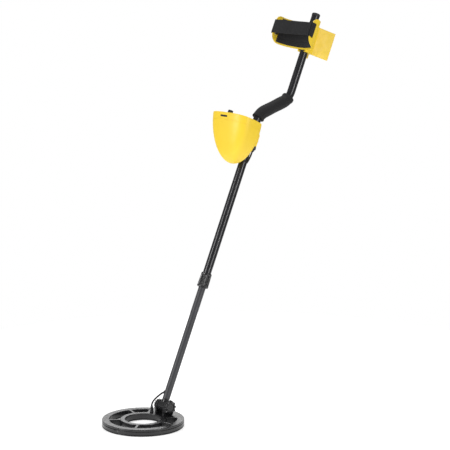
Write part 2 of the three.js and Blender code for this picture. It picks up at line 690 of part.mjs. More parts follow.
function electronics() {
  piece(shaft, 'circuit_board', block([-38, -98, at(32)], [38, -52, at(30.4)]), BOARD_GREEN);
  const cell = { halfWidth: 13.2, depth: 17.5, top: 48, length: 48.5 };
  [-14, 14].forEach((x, i) => {
    const low = [x - cell.halfWidth, -62, at(cell.top + cell.length)];
    const high = [x + cell.halfWidth, -62 + cell.depth, at(cell.top)];
    piece(shaft, `battery_${i + 1}`, block(low, high), BATTERY_CASE);
  });
  const clip = block([-27, -62, at(cell.top - GAP)], [27, -62 + cell.depth, at(cell.top - 4)]);
  piece(shaft, 'battery_clip', clip, BLACK_PLASTIC);
  const jack = block([-18, -108.5, at(14.5)], [-9, -97, at(8.8)]);
  piece(shaft, 'headphone_jack', jack, BLACK_PLASTIC);
}

// ---------------------------------------------------------------- arm cuff

// Half of the cuff's cross-section, from the middle of its floor up to a height, as x and the
// height above the forearm tube's axis, inset from the outside surface.
function cuffHalf(inset, top, steps) {
  const rise = CUFF_SPRING - CUFF_FLOOR - inset;
  const last = Math.acos((CUFF_SPRING - Math.min(top, CUFF_SPRING)) / rise);
  const points = [];
  for (let i = 0; i <= steps; i++) {
    const angle = last * (i / steps);
    points.push([
      (CUFF_HALF_WIDTH - inset) * Math.sin(angle),
      CUFF_SPRING - rise * Math.cos(angle),
    ]);
  }
  if (top > CUFF_SPRING) points.push([CUFF_HALF_WIDTH - inset, top]);
  return points;
}

// The U between two insets, as an outline in x and y.
function cuffOutline(outer, inner, top) {
  const [outside, inside] = [cuffHalf(outer, top, 12), cuffHalf(inner, top, 12)];
  const mirror = (points) => points.slice(1).map(([x, v]) => [-x, v]);
  const around = [
    ...outside.slice().reverse(), ...mirror(outside), ...mirror(inside).reverse(), ...inside,
  ];
  return new THREE.Shape(around.map(([x, v]) => new THREE.Vector2(x, -v)));
}

function alongCuff(geometry, from) {
  return geometry.translate(0, ARM_OFFSET, CUFF_MIDDLE + from);
}

// Rounds the wings' corners, seen from the side.
function wingTrim() {
  const outline = new THREE.Shape();
  const [low, high] = [WING_LOW_ROUNDING, WING_HIGH_ROUNDING];
  outline.moveTo(40, CUFF_LOW);
  outline.lineTo(CUFF_TOP - low, CUFF_LOW);
  outline.absarc(CUFF_TOP - low, CUFF_LOW + low, low, -Math.PI / 2, 0);
  outline.absarc(CUFF_TOP - high, CUFF_HIGH - high, high, 0, Math.PI / 2);
  outline.lineTo(40, CUFF_HIGH);
  outline.lineTo(0, CUFF_HIGH);
  outline.lineTo(0, CUFF_LOW);
  const side = extrude(outline, 2 * CUFF_HALF_WIDTH + 20, 0, 6);
  // The outline's first axis becomes -y and its second becomes z.
  const turn = new THREE.Matrix4().makeBasis(
    new THREE.Vector3(0, -1, 0), new THREE.Vector3(0, 0, 1), new THREE.Vector3(-1, 0, 0));
  side.applyMatrix4(turn).translate(CUFF_HALF_WIDTH + 10, ARM_OFFSET, CUFF_MIDDLE);
  return side;
}

function armCuff() {
  const length = CUFF_HIGH - CUFF_LOW;
  const shell = alongCuff(extrude(cuffOutline(0, CUFF_WALL, CUFF_TOP), length), CUFF_LOW);
  const slot = alongCuff(block(
    [-80, -SLOT_HIGH, STRAP_CENTRE - STRAP_WIDTH / 2 - 1.5],
    [80, -SLOT_LOW, STRAP_CENTRE + STRAP_WIDTH / 2 + 1.5]), 0);
  const rounded = common(shell, wingTrim());
  piece(shaft, 'cuff_shell', cut(rounded, slot, cuffBoltHole()), YELLOW);

  const lining = cuffOutline(CUFF_WALL + GAP, CUFF_WALL + GAP + 3, SLOT_LOW - 6);
  const pad = alongCuff(extrude(lining, length - 8), CUFF_LOW + 4);
  const floor = CUFF_FLOOR + CUFF_WALL + GAP;
  const well = alongCuff(bar('y', 7, -floor - 10, -floor + 5, [0, 0], 20), 0);
  piece(shaft, 'cuff_pad', cut(pad, well), FOAM);

  const head = bar('y', 6, -floor - 2.4, -floor, [0, 0], 20);
  const shank = bar('y', 3, -floor - 1, 19, [0, 0], 16);
  piece(shaft, 'cuff_bolt', alongCuff(join(head, shank), 0), STEEL);
  const nut = cut(bar('y', 8, 15 + GAP, 21.5, [0, 0], 6), bar('y', 3.3, 10, 19.6, [0, 0], 16));
  piece(shaft, 'cuff_nut', alongCuff(nut, 0), BLACK_PLASTIC);

  armStrap();
  cuffStand();
}

function cuffBoltHole() {
  return alongCuff(bar('y', 3.4, -20, 20, [0, 0], 16), 0);
}

// The strap's cross-section: out through one slot, over that wing tip, across the opening,
// over the other tip and in through the other slot.
function armStrap() {
  const inside = CUFF_HALF_WIDTH - CUFF_WALL - 1;
  const outside = CUFF_HALF_WIDTH + GAP + STRAP_SLACK;
  const t = STRAP_THICKNESS;
  const slotMiddle = (SLOT_LOW + SLOT_HIGH) / 2;
  const tip = CUFF_TOP + GAP + 0.3;
  const half = [
    [inside - t, SLOT_LOW - 3.5], [inside, SLOT_LOW - 3.5], [inside, slotMiddle - t / 2],
    [outside + t, slotMiddle - t / 2], [outside + t, tip + t - 1], [outside + t - 1, tip + t],
    [0, tip + t + 1.5],
  ];
  const under = [
    [0, tip + 1.5], [outside, tip], [outside, slotMiddle + t / 2],
    [inside - t, slotMiddle + t / 2],
  ];
  const mirror = (points) => points.filter(([x]) => x > 0).map(([x, v]) => [-x, v]).reverse();
  const around = [...half, ...mirror(half), ...mirror(under), ...under];
  const outline = new THREE.Shape(around.map(([x, v]) => new THREE.Vector2(x, -v)));
  const strap = extrude(outline, STRAP_WIDTH);
  piece(shaft, 'arm_strap', alongCuff(strap, STRAP_CENTRE - STRAP_WIDTH / 2), WEBBING);
}

// A foot with two splayed legs, clamped under the cuff, on which the shaft is laid down.
function cuffStand() {
  const outline = new THREE.Shape();
  const half = [
    [0, -15], [12, -15], [36.5, -57], [39.5, -55.5], [18, -13], [19, -6], [19, 7], [16, 9.6],
    [0, 9.6],
  ];
  half.forEach(([x, v], i) => (i ? outline.lineTo(x, -v) : outline.moveTo(x, -v)));
  half.slice(1, -1).reverse().forEach(([x, v]) => outline.lineTo(-x, -v));
  const stand = alongCuff(extrude(outline, 78, 0.8), -33.5);
  const bore = bar('z', TUBE_RADIUS + GAP, CUFF_MIDDLE - 60, CUFF_MIDDLE + 60, [0, ARM_OFFSET], 32);
  piece(shaft, 'cuff_stand', cut(stand, bore, cuffBoltHole()), YELLOW);
}

// ---------------------------------------------------------------- assembly

searchCoil();
tiltHinge();
lowerStem();
piece(detector, 'coil_cable', cable(COIL_CABLE_ROUTE, CABLE_RADIUS, 24), BLACK_RUBBER);
twistLock();
mainTube();
pod();
podBracket();
controlPanel();
meter();
electronics();
armCuff();

export default detector;
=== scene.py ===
"""The looks of a hobby metal detector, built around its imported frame.

Lengths are metres and +Z is up. Pieces on the shaft are drawn in a frame of their own: +z runs up the
shaft from the tilt hinge, and the control pod and the open side of the arm cuff face its -y side.
"""

import contextlib
import itertools
import json
import math

import bmesh
import bpy
from mathutils import Matrix, Vector


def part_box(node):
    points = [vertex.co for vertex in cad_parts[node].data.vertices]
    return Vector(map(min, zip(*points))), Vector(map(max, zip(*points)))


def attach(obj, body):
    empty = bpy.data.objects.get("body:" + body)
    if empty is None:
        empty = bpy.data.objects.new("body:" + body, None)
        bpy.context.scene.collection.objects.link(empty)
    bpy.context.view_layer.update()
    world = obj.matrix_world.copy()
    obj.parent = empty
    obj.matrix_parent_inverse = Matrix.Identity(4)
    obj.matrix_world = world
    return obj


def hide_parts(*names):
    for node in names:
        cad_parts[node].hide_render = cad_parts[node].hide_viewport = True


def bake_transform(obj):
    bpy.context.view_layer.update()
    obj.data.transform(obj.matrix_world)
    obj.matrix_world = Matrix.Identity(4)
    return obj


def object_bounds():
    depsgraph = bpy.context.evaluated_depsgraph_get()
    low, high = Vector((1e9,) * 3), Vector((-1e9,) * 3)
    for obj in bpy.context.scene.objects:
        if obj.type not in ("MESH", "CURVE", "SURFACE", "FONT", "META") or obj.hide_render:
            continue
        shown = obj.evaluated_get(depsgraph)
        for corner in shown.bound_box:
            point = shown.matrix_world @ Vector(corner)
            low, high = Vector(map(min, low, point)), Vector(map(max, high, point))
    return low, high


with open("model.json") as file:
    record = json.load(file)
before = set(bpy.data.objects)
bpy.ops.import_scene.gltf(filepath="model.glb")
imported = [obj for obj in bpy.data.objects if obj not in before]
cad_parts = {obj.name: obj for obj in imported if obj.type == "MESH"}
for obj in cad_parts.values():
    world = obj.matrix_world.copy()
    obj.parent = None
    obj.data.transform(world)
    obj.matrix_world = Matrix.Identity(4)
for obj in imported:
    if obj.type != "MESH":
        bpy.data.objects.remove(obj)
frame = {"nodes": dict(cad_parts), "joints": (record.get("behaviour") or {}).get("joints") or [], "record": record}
cad_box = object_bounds()

# ---- the frame ----

RECORD = frame["record"]
JOINTS = {joint["name"]: joint for joint in frame["joints"]}
SLOT_OF = {part["node"]: part["material_slot"] for part in RECORD["subparts"]}
BODY_OF = {node: body for body, nodes in RECORD["behaviour"]["bodies"].items() for node in nodes}

HINGE = Vector(JOINTS["coil_tilt"]["pos_m"])
UP_SHAFT = Vector(JOINTS["stem_slide"]["axis"]).normalized()
SIDE = Vector((1, 0, 0))
BACK = UP_SHAFT.cross(SIDE)
SHAFT = Matrix.Translation(HINGE) @ Matrix((SIDE, BACK, UP_SHAFT)).transposed().to_4x4()
WORLD = Matrix.Identity(4)
CLEAR = 0.0001


def span(node):
    """The lowest and highest corners of a CAD node in the shaft's frame."""
    to_shaft = SHAFT.inverted()
    points = [to_shaft @ vertex.co for vertex in frame["nodes"][node].data.vertices]
    low = Vector([min(p[i] for p in points) for i in range(3)])
    high = Vector([max(p[i] for p in points) for i in range(3)])
    return low, high


def up_shaft_at(point):
    """The place with this point's x and y, whose z runs up the shaft from the hinge's level."""
    return SHAFT @ Matrix.Translation((point.x, point.y, 0))


def joint_in_shaft(name):
    """Where a joint is, in the shaft's frame."""
    return SHAFT.inverted() @ Vector(JOINTS[name]["pos_m"])


# ---- camera ----

CAMERA_AZIMUTH = math.radians(46.6)
CAMERA_ELEVATION = math.radians(10.2)
CAMERA_DISTANCE = 5.3
CAMERA_LENS = 159.2
CAMERA_SHIFT = (-0.0053, -0.0329)
AIM_UP_SHAFT = 0.545


def add_object(name, data):
    thing = bpy.data.objects.new(name, data)
    bpy.context.scene.collection.objects.link(thing)
    return thing


def face_middle(thing, azimuth, elevation, distance):
    """Puts a camera or a light this far out from the middle of the shaft, looking back at it."""
    level = math.cos(elevation)
    out = Vector((math.sin(azimuth) * level, -math.cos(azimuth) * level, math.sin(elevation)))
    thing.location = HINGE + AIM_UP_SHAFT * UP_SHAFT + distance * out
    thing.rotation_mode = "QUATERNION"
    thing.rotation_quaternion = (-out).to_track_quat("-Z", "Y")


def add_camera():
    data = bpy.data.cameras.new("camera")
    data.lens = CAMERA_LENS
    data.shift_x, data.shift_y = CAMERA_SHIFT
    camera = add_object("camera", data)
    face_middle(camera, CAMERA_AZIMUTH, CAMERA_ELEVATION, CAMERA_DISTANCE)
    bpy.context.scene.camera = camera


# ---- mesh helpers ----

@contextlib.contextmanager
def editing(mesh):
    """Opens a mesh for changes, which are written back at the end."""
    work = bmesh.new()
    work.from_mesh(mesh)
    yield work
    work.to_mesh(mesh)
    work.free()


def link_piece(name, mesh, place):
    with editing(mesh) as work:
        bmesh.ops.recalc_face_normals(work, faces=work.faces)
    piece = add_object(name, mesh)
    piece.matrix_world = place
    return piece


def new_piece(name, points, faces, place=SHAFT):
    mesh = bpy.data.meshes.new(name)
    mesh.from_pydata([tuple(p) for p in points], [], faces)
    return link_piece(name, mesh, place)


def finished_mesh(thing):
    """The mesh of a piece or a curve with its modifiers worked out."""
    bpy.context.view_layer.update()
    graph = bpy.context.evaluated_depsgraph_get()
    return bpy.data.meshes.new_from_object(thing.evaluated_get(graph))


def apply_modifiers(piece):
    mesh = finished_mesh(piece)
    old = piece.data
    piece.modifiers.clear()
    piece.data = mesh
    bpy.data.meshes.remove(old)


def combine(piece, operation, *others):
    """Cuts or joins other closed pieces, which are used up."""
    for other in others:
        change = piece.modifiers.new("combine", "BOOLEAN")
        change.operation = operation
        change.solver = "EXACT"
        change.object = other
        apply_modifiers(piece)
        bpy.data.objects.remove(other)
    return piece


def merge_flat(piece):
    """Joins the slivers that cutting leaves in one plane, so that shading runs evenly over them."""
    with editing(piece.data) as work:
        bmesh.ops.remove_doubles(work, verts=work.verts, dist=1e-5)
        bmesh.ops.dissolve_limit(
            work, angle_limit=math.radians(0.5), verts=work.verts, edges=work.edges)
    return piece


def soften(piece, bevel=0.0, crease=35, segments=3):
    """Rounds the sharp edges of a piece and shades it smooth across the rest."""
    if bevel:
        edges = piece.modifiers.new("edges", "BEVEL")
        edges.width = bevel
        edges.segments = segments
        edges.limit_method = "ANGLE"
        edges.angle_limit = math.radians(crease)
        apply_modifiers(piece)
    piece.data.shade_smooth()
    piece.data.set_sharp_from_angle(angle=math.radians(crease))
    normals = piece.modifiers.new("normals", "WEIGHTED_NORMAL")
    normals.keep_sharp = True
    return piece


def skin(rings, around=False):
    """Faces over rings of points that all have the same count. With around set the last ring joins
    the first, as for the wall of a tube, and otherwise both ends are closed."""
    sides = len(rings[0])
    points = [point for ring in rings for point in ring]
    faces = []
    count = len(rings)
    for i in range(count if around else count - 1):
        low = i * sides
        high = (i + 1) % count * sides
        for j in range(sides):
            k = (j + 1) % sides
            faces.append((low + j, low + k, high + k, high + j))
    if not around:
        faces.append(tuple(range(sides)))
        faces.append(tuple((count - 1) * sides + j for j in range(sides)))
    return points, faces


def gather(points, faces, more_points, more_faces):
    """Adds one solid's points and faces to lists that may already hold others."""
    first = len(points)
    points += more_points
    faces += [tuple(first + corner for corner in face) for face in more_faces]


def circle(radius, sides, height=0.0):
    turns = [math.tau * i / sides for i in range(sides)]
    return [Vector((radius * math.cos(t), radius * math.sin(t), height)) for t in turns]


def turned(name, outline, place, sides=64, hollow=False):
    """A solid of revolution about z, from (radius, height) pairs."""
    rings = [circle(max(radius, 1e-5), sides, height) for radius, height in outline]
    return new_piece(name, *skin(rings, hollow), place)


def block(name, low, high, place=SHAFT):
    corners = list(itertools.product(*zip(low, high)))
    faces = [(0, 1, 3, 2), (4, 6, 7, 5), (0, 4, 5, 1), (2, 3, 7, 6), (0, 2, 6, 4), (1, 5, 7, 3)]
    return new_piece(name, corners, faces, place)


def prism(name, outline, depth, place):
    """An outline in x and y, pushed along z."""
    rings = [[Vector((x, y, z)) for x, y in outline] for z in (0, depth)]
    return new_piece(name, *skin(rings), place)


def rounded_box_outline(low, high, radius, steps=6):
    centres = [
        (high[0] - radius, high[1] - radius), (low[0] + radius, high[1] - radius),
        (low[0] + radius, low[1] + radius), (high[0] - radius, low[1] + radius),
    ]
    points = []
    for quarter, (x, y) in enumerate(centres):
        for i in range(steps + 1):
            turn = math.pi / 2 * (quarter + i / steps)
            points.append((x + radius * math.cos(turn), y + radius * math.sin(turn)))
    return points


def axes(x, y, z, origin=(0, 0, 0)):
    """The place whose own axes point along the given directions."""
    return Matrix.Translation(origin) @ Matrix((x, y, z)).transposed().to_4x4()


def sideways(origin):
    """The place whose z points to the side, as the hinge bolt does, with its x and y across that."""
    return axes((0, 1, 0), (0, 0, 1), (1, 0, 0), origin)


def smooth_path(points, steps):
    """A Catmull-Rom curve through given points."""
    points = [Vector(p) for p in points]
    ends = [2 * points[0] - points[1], *points, 2 * points[-1] - points[-2]]
    path = []
    for a, b, c, d in zip(ends, ends[1:], ends[2:], ends[3:]):
        for i in range(steps):
            t = i / steps
            path.append(0.5 * (
                2 * b + (c - a) * t + (2 * a - 5 * b + 4 * c - d) * t ** 2
                + (3 * b - a - 3 * c + d) * t ** 3))
    return [*path, points[-1]]


def tube_along(name, path, radius, place, sides=20):
    """A round cable along a path, closed at both ends."""
    rings = []
    across = Vector((1, 0, 0))
    for i, point in enumerate(path):
        ahead = (path[min(i + 1, len(path) - 1)] - path[max(i - 1, 0)]).normalized()
        across = (across - across.dot(ahead) * ahead).normalized()
        other = ahead.cross(across)
        turns = [math.tau * j / sides for j in range(sides)]
        rings.append([point + radius * (math.cos(t) * across + math.sin(t) * other) for t in turns])
    return new_piece(name, *skin(rings), place)


# ---- materials ----

def add_node(look, kind, **settings):
    """Adds a shader node. Settings that name an input set that input, and others set the node."""
    node = look.node_tree.nodes.new(kind)
    for name, value in settings.items():
        label = name.replace("_", " ").title()
        if label in node.inputs:
            node.inputs[label].default_value = value
        else:
            setattr(node, name, value)
    return node


def join_nodes(look, start, end):
    look.node_tree.links.new(start, end)


def surface_of(look):
    return look.node_tree.nodes["Principled BSDF"]


def new_look(name, color, roughness, metallic=0.0, **more):
    look = bpy.data.materials.new(name)
    look.use_nodes = True
    surface = surface_of(look)
    surface.inputs["Base Color"].default_value = (*color, 1)
    surface.inputs["Roughness"].default_value = roughness
    surface.inputs["Metallic"].default_value = metallic
    for key, value in more.items():
        surface.inputs[key.replace("_", " ").title()].default_value = value
    return look


def place_nodes(look, stretch=(1, 1, 1)):
    """The coordinates of a piece's own frame, stretched along its axes."""
    where = add_node(look, "ShaderNodeTexCoord")
    scale = add_node(look, "ShaderNodeVectorMath", operation="MULTIPLY")
    scale.inputs[1].default_value = stretch
    join_nodes(look, where.outputs["Object"], scale.inputs[0])
    return scale.outputs[0]


def noise(look, size, detail):
    """Noise whose features are about the given size."""
    field = add_node(look, "ShaderNodeTexNoise", scale=1 / size, detail=detail)
    join_nodes(look, place_nodes(look), field.inputs["Vector"])
    return field.outputs["Fac"]


def bump(look, height_field, height):
    """Adds relief of the given height, on top of any that is there already."""
    relief = add_node(look, "ShaderNodeBump", strength=1.0, distance=height)
    join_nodes(look, height_field, relief.inputs["Height"])
    normal = surface_of(look).inputs["Normal"]
    if normal.links:
        join_nodes(look, normal.links[0].from_socket, relief.inputs["Normal"])
    join_nodes(look, relief.outputs["Normal"], normal)


def between(look, field, low, high, first, second, socket):
    """Blends a value or a colour between two, where the field goes from low to high."""
    ramp = add_node(look, "ShaderNodeValToRGB")
    ramp.color_ramp.elements[0].position = low
    ramp.color_ramp.elements[1].position = high
    for element, value in zip(ramp.color_ramp.elements, (first, second)):
        element.color = (*value, 1) if isinstance(value, tuple) else (value, value, value, 1)
    join_nodes(look, field, ramp.inputs["Fac"])
    join_nodes(look, ramp.outputs["Color"], surface_of(look).inputs[socket])


def vary(look, socket, first, second, size, detail=3, reach=(0.3, 0.7)):
    """Lets a value or a colour wander between two over patches of the given size."""
    between(look, noise(look, size, detail), *reach, first, second, socket)


def grain(look, size, height, detail=2):
    """Relief of the given height in features of the given size."""
    bump(look, noise(look, size, detail), height)


def moulded(name, color, darker, roughness, grain_size, grain_height):
    """Moulded plastic: fine spark-eroded grain, faint flow marks and uneven gloss."""
    look = new_look(name, color, roughness)
    vary(look, "Base Color", color, darker, 0.04, 2)
    vary(look, "Roughness", roughness * 0.85, roughness * 1.2, 0.012, 4, (0.3, 0.75))
    grain(look, grain_size, grain_height)
    return look


def coil_plastic():
    look = moulded("coil_plastic", (0.008, 0.008, 0.009), (0.012, 0.012, 0.013), 0.27, 0.0009, 0.00002)
    grain(look, 0.02, 0.00004)
    return look


def black_paint(name, dark, light, roughness):
    """Baked paint with a faint orange peel."""
    look = new_look(name, dark, roughness)
    vary(look, "Base Color", dark, light, 0.03)
    vary(look, "Roughness", roughness * 0.9, roughness * 1.2, 0.01, 4, (0.35, 0.8))
    grain(look, 0.004, 0.00001)
    return look


def closed_cell_foam():
    look = new_look("closed_cell_foam", (0.012, 0.012, 0.013), 0.93, sheen_weight=0.04)
    cells = add_node(look, "ShaderNodeTexVoronoi", scale=1 / 0.0011)
    join_nodes(look, place_nodes(look), cells.inputs["Vector"])
    distance = cells.outputs["Distance"]
    # The pore centres are darker than the cell walls: painted shade in the pits that the bump below presses in.
    between(look, distance, 0.0, 0.7, (0.004, 0.004, 0.005), (0.018, 0.018, 0.019), "Base Color")
    bump(look, distance, 0.0002)
    grain(look, 0.008, 0.0006, 3)
    return look


def woven(name, color, lighter, pitch):
    """Narrow webbing, woven across x and y together and along z."""
    look = new_look(name, color, 0.85, sheen_weight=0.05)
    weave = add_node(look, "ShaderNodeMath", operation="MULTIPLY")
    for thread, (direction, stretch) in enumerate((("X", (20, 20, 0)), ("Z", (0, 0, 20)))):
        wave = add_node(look, "ShaderNodeTexWave", scale=1 / pitch / 20, bands_direction=direction)
        join_nodes(look, place_nodes(look, stretch), wave.inputs["Vector"])
        join_nodes(look, wave.outputs["Fac"], weave.inputs[thread])
    # The threads' raised crossings are lighter and the low gaps between them darker: painted highlight and painted
    # shade that follow the relief below.
    between(look, weave.outputs[0], 0.1, 0.8, color, lighter, "Base Color")
    bump(look, weave.outputs[0], 0.00025)
    grain(look, 0.0006, 0.0001, 3)
    return look


def rubber():
    look = new_look("black_rubber", (0.018, 0.018, 0.019), 0.7)
    vary(look, "Roughness", 0.6, 0.82, 0.01, 4)
    grain(look, 0.0006, 0.00003)
    return look


def steel():
    look = new_look("plated_steel", (0.62, 0.63, 0.65), 0.3, 1.0)
    vary(look, "Roughness", 0.22, 0.4, 0.0008, 4)
    vary(look, "Base Color", (0.66, 0.67, 0.68), (0.55, 0.55, 0.56), 0.006)
    grain(look, 0.0004, 0.00001)
    return look


def copper_winding():
    look = new_look("copper_winding", (0.72, 0.33, 0.15), 0.32, 1.0)
    wires = add_node(look, "ShaderNodeTexWave", scale=100, bands_direction="Z")
    join_nodes(look, place_nodes(look), wires.inputs["Vector"])
    bump(look, wires.outputs["Fac"], 0.0002)
    vary(look, "Base Color", (0.74, 0.35, 0.16), (0.58, 0.24, 0.10), 0.01)
    return look


def clear_acrylic():
    look = new_look("clear_acrylic", (0.97, 0.99, 1.0), 0.03, transmission_weight=1.0)
    surface_of(look).inputs["IOR"].default_value = 1.49
    grain(look, 0.02, 0.00002)
    return look


def printed_card():
    look = new_look("printed_card", (0.84, 0.82, 0.74), 0.7)
    vary(look, "Base Color", (0.86, 0.84, 0.77), (0.80, 0.78, 0.69), 0.004, 4)
    grain(look, 0.0003, 0.00001)
    return look


def solder_mask():
    """A circuit board: copper tracks under green lacquer."""
    look = new_look("solder_mask", (0.02, 0.16, 0.06), 0.3)
    tracks = add_node(
        look, "ShaderNodeTexBrick", scale=1.0, brick_width=0.009, row_height=0.0025, mortar_size=0.0003)
    join_nodes(look, place_nodes(look), tracks.inputs["Vector"])
    between(look, tracks.outputs["Fac"], 0.2, 0.8, (0.015, 0.14, 0.05), (0.05, 0.28, 0.10), "Base Color")
    bump(look, tracks.outputs["Fac"], 0.00006)
    return look


def painted_can():
    """A battery's case, dark with a copper-coloured band at one end."""
    look = new_look("battery_can", (0.09, 0.10, 0.12), 0.35, 0.6)
    height = add_node(look, "ShaderNodeSeparateXYZ")
    join_nodes(look, place_nodes(look), height.inputs[0])
    top = span("battery_1")[1].z
    scaled = add_node(look, "ShaderNodeMapRange")
    scaled.inputs["From Min"].default_value = top - 0.017
    scaled.inputs["From Max"].default_value = top - 0.016
    join_nodes(look, height.outputs["Z"], scaled.inputs["Value"])
    between(look, scaled.outputs[0], 0, 1, (0.05, 0.055, 0.065), (0.60, 0.30, 0.10), "Base Color")
    grain(look, 0.0015, 0.00001)
    return look


def white_print():
    look = new_look("white_print", (0.80, 0.80, 0.78), 0.5)
    vary(look, "Base Color", (0.82, 0.82, 0.80), (0.70, 0.70, 0.68), 0.002)
    return look


YELLOW = ((0.97, 0.68, 0.036), (0.95, 0.66, 0.033))
GREY = ((0.045, 0.047, 0.052), (0.055, 0.057, 0.062))
GLOSS_BLACK = ((0.006, 0.006, 0.008), (0.010, 0.010, 0.013))
SATIN_BLACK = ((0.030, 0.030, 0.034), (0.038, 0.038, 0.043))
WEBBING = ((0.005, 0.005, 0.006), (0.020, 0.020, 0.022))

LOOKS = {
    "black_plastic": coil_plastic(),
    "gloss_black": black_paint("gloss_black_paint", *GLOSS_BLACK, 0.27),
    "black_rubber": rubber(),
    "foam": closed_cell_foam(),
    "webbing": woven("webbing", *WEBBING, 0.0016),
    "yellow_plastic": moulded("yellow_plastic", *YELLOW, 0.44, 0.0008, 0.000012),
    "panel_grey": moulded("panel_grey", *GREY, 0.5, 0.0005, 0.00005),
    "steel": steel(),
    "copper": copper_winding(),
    "clear_window": clear_acrylic(),
    "dial": printed_card(),
    "board": solder_mask(),
    "battery": painted_can(),
}
SATIN_PAINT = black_paint("satin_black_paint", *SATIN_BLACK, 0.5)
PRINT = white_print()


def dress(piece, body, slot, look=None):
    piece.data.materials.clear()
    piece.data.materials.append(look or LOOKS[slot])
    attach(piece, body)
    return piece


def stand_for(piece, *nodes, look=None):
    """The piece takes the place, the body and the material of CAD nodes."""
    dress(piece, BODY_OF[nodes[0]], SLOT_OF[nodes[0]], look)
    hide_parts(*nodes)
    return piece


# ---- cables ----

CABLE_DIAMETER = 0.0045
COIL_CABLE_ROUTE = [
    (-0.0288, -0.0167, 0.0367), (-0.0286, -0.0161, 0.0403), (-0.0282, -0.0146, 0.0438),
    (-0.0275, -0.0124, 0.0473), (-0.0265, -0.0095, 0.0507), (-0.0254, -0.0062, 0.054),
    (-0.024, -0.0026, 0.0571), (-0.0225, 0.001, 0.06), (-0.0211, 0.0044, 0.0625),
    (-0.0196, 0.008, 0.065), (-0.0178, 0.0114, 0.0673), (-0.0156, 0.0137, 0.069),
    (-0.0141, 0.0145, 0.0695), (-0.0126, 0.0148, 0.0697),
]
POD_CABLE_ROUTE = [
    (0.024, -0.003, 0.7117), (0.0239, -0.003, 0.707), (0.0233, -0.0028, 0.702),
    (0.0219, -0.0022, 0.697), (0.0196, -0.0013, 0.6904), (0.0176, -0.0006, 0.6864),
    (0.0158, -0.0001, 0.6844), (0.0141, 0, 0.684),
]


def path_length(path):
    return sum((b - a).length for a, b in zip(path, path[1:]))


def coil_cable():
    path = smooth_path(COIL_CABLE_ROUTE, 6)
    cable = soften(tube_along("coil_cable_jacket", path, CABLE_DIAMETER / 2, WORLD))
    cable.data.materials.append(LOOKS["black_rubber"])
    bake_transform(cable)
    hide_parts("coil_cable")


def pod_cable():
    path = smooth_path(POD_CABLE_ROUTE, 6)
    stand_for(soften(tube_along("pod_cable_jacket", path, CABLE_DIAMETER / 2, SHAFT)), "pod_cable")


# ---- refined CAD pieces ----

def refined(node, bevel=0.0004, crease=30):
    """A copy of a plain CAD piece with rounded edges and smooth shading."""
    work = bmesh.new()
    work.from_mesh(frame["nodes"][node].data)
    place = WORLD if BODY_OF[node] in ("coil", "hinge_knob") else SHAFT
    bmesh.ops.transform(work, matrix=place.inverted(), verts=work.verts)
    bmesh.ops.remove_doubles(work, verts=work.verts, dist=1e-6)
    bmesh.ops.dissolve_limit(work, angle_limit=math.radians(1), verts=work.verts, edges=work.edges)
    mesh = bpy.data.meshes.new(node + "_fine")
    work.to_mesh(mesh)
    work.free()
    if "custom_normal" in mesh.attributes:
        mesh.attributes.remove(mesh.attributes["custom_normal"])
    piece = link_piece(node + "_fine", mesh, place)
    return stand_for(soften(piece, bevel, crease), node)


# ---- search coil ----

RIM_INNER = 0.0885
HUB_OUTER = 0.060
HUB_INNER = 0.047
SPOKE_WIDTH = 0.007
SPOKE_TURNS = (0.1, 0.2, 0.4, 0.6, 0.8, 0.9)
POCKET_ROUNDING = 0.004
COIL_HEIGHT = 0.018
SEAM = 0.0003
GROOVE_LOW = 0.0112
GROOVE_HIGH = 0.0132
GROOVE_DEPTH = 0.0022
RIM_SIDES = 160
HUB_SIDES = 96
REAR = math.pi / 2


def arc(centre, radius, start, end, steps):
    turns = [start + (end - start) * i / steps for i in range(steps + 1)]
    return [centre + radius * Vector((math.cos(t), math.sin(t), 0)) for t in turns]


def round_corners(outline, corners, reach, steps=5):
    """Turns each named corner of an outline into a curve that starts and ends within its reach."""
    rounded = []
    count = len(outline)
    far = [all((p - c).length > reach for c in corners) for p in outline]
    for i, point in enumerate(outline):
        if far[i]:
            rounded.append(point)
        elif any((point - c).length < 1e-9 for c in corners):
            before = next(outline[(i - k) % count] for k in range(1, count) if far[(i - k) % count])
            after = next(outline[(i + k) % count] for k in range(1, count) if far[(i + k) % count])
            first = point + reach * (before - point).normalized()
            last = point + reach * (after - point).normalized()
            for k in range(steps + 1):
                t = k / steps
                rounded.append((1 - t) ** 2 * first + 2 * t * (1 - t) * point + t ** 2 * last)
    return rounded


def along_edge(start, end):
    """Points on the straight side of a spoke, between its corners."""
    return [start.lerp(end, share) for share in (0.25, 0.5, 0.75)]


def spoke_pocket(centre, start, end):
    """The opening between two spokes."""
    outer = SPOKE_WIDTH / 2 / RIM_INNER
    inner = SPOKE_WIDTH / 2 / HUB_OUTER
    far_side = arc(centre, RIM_INNER, start + outer, end - outer, 24)
    near_side = arc(centre, HUB_OUTER, end - inner, start + inner, 24)
    corners = [far_side[0], far_side[-1], near_side[0], near_side[-1]]
    outline = [
        *far_side, *reversed(along_edge(near_side[0], far_side[-1])),
        *near_side, *along_edge(near_side[-1], far_side[0]),
    ]
    return round_corners(outline, corners, POCKET_ROUNDING)


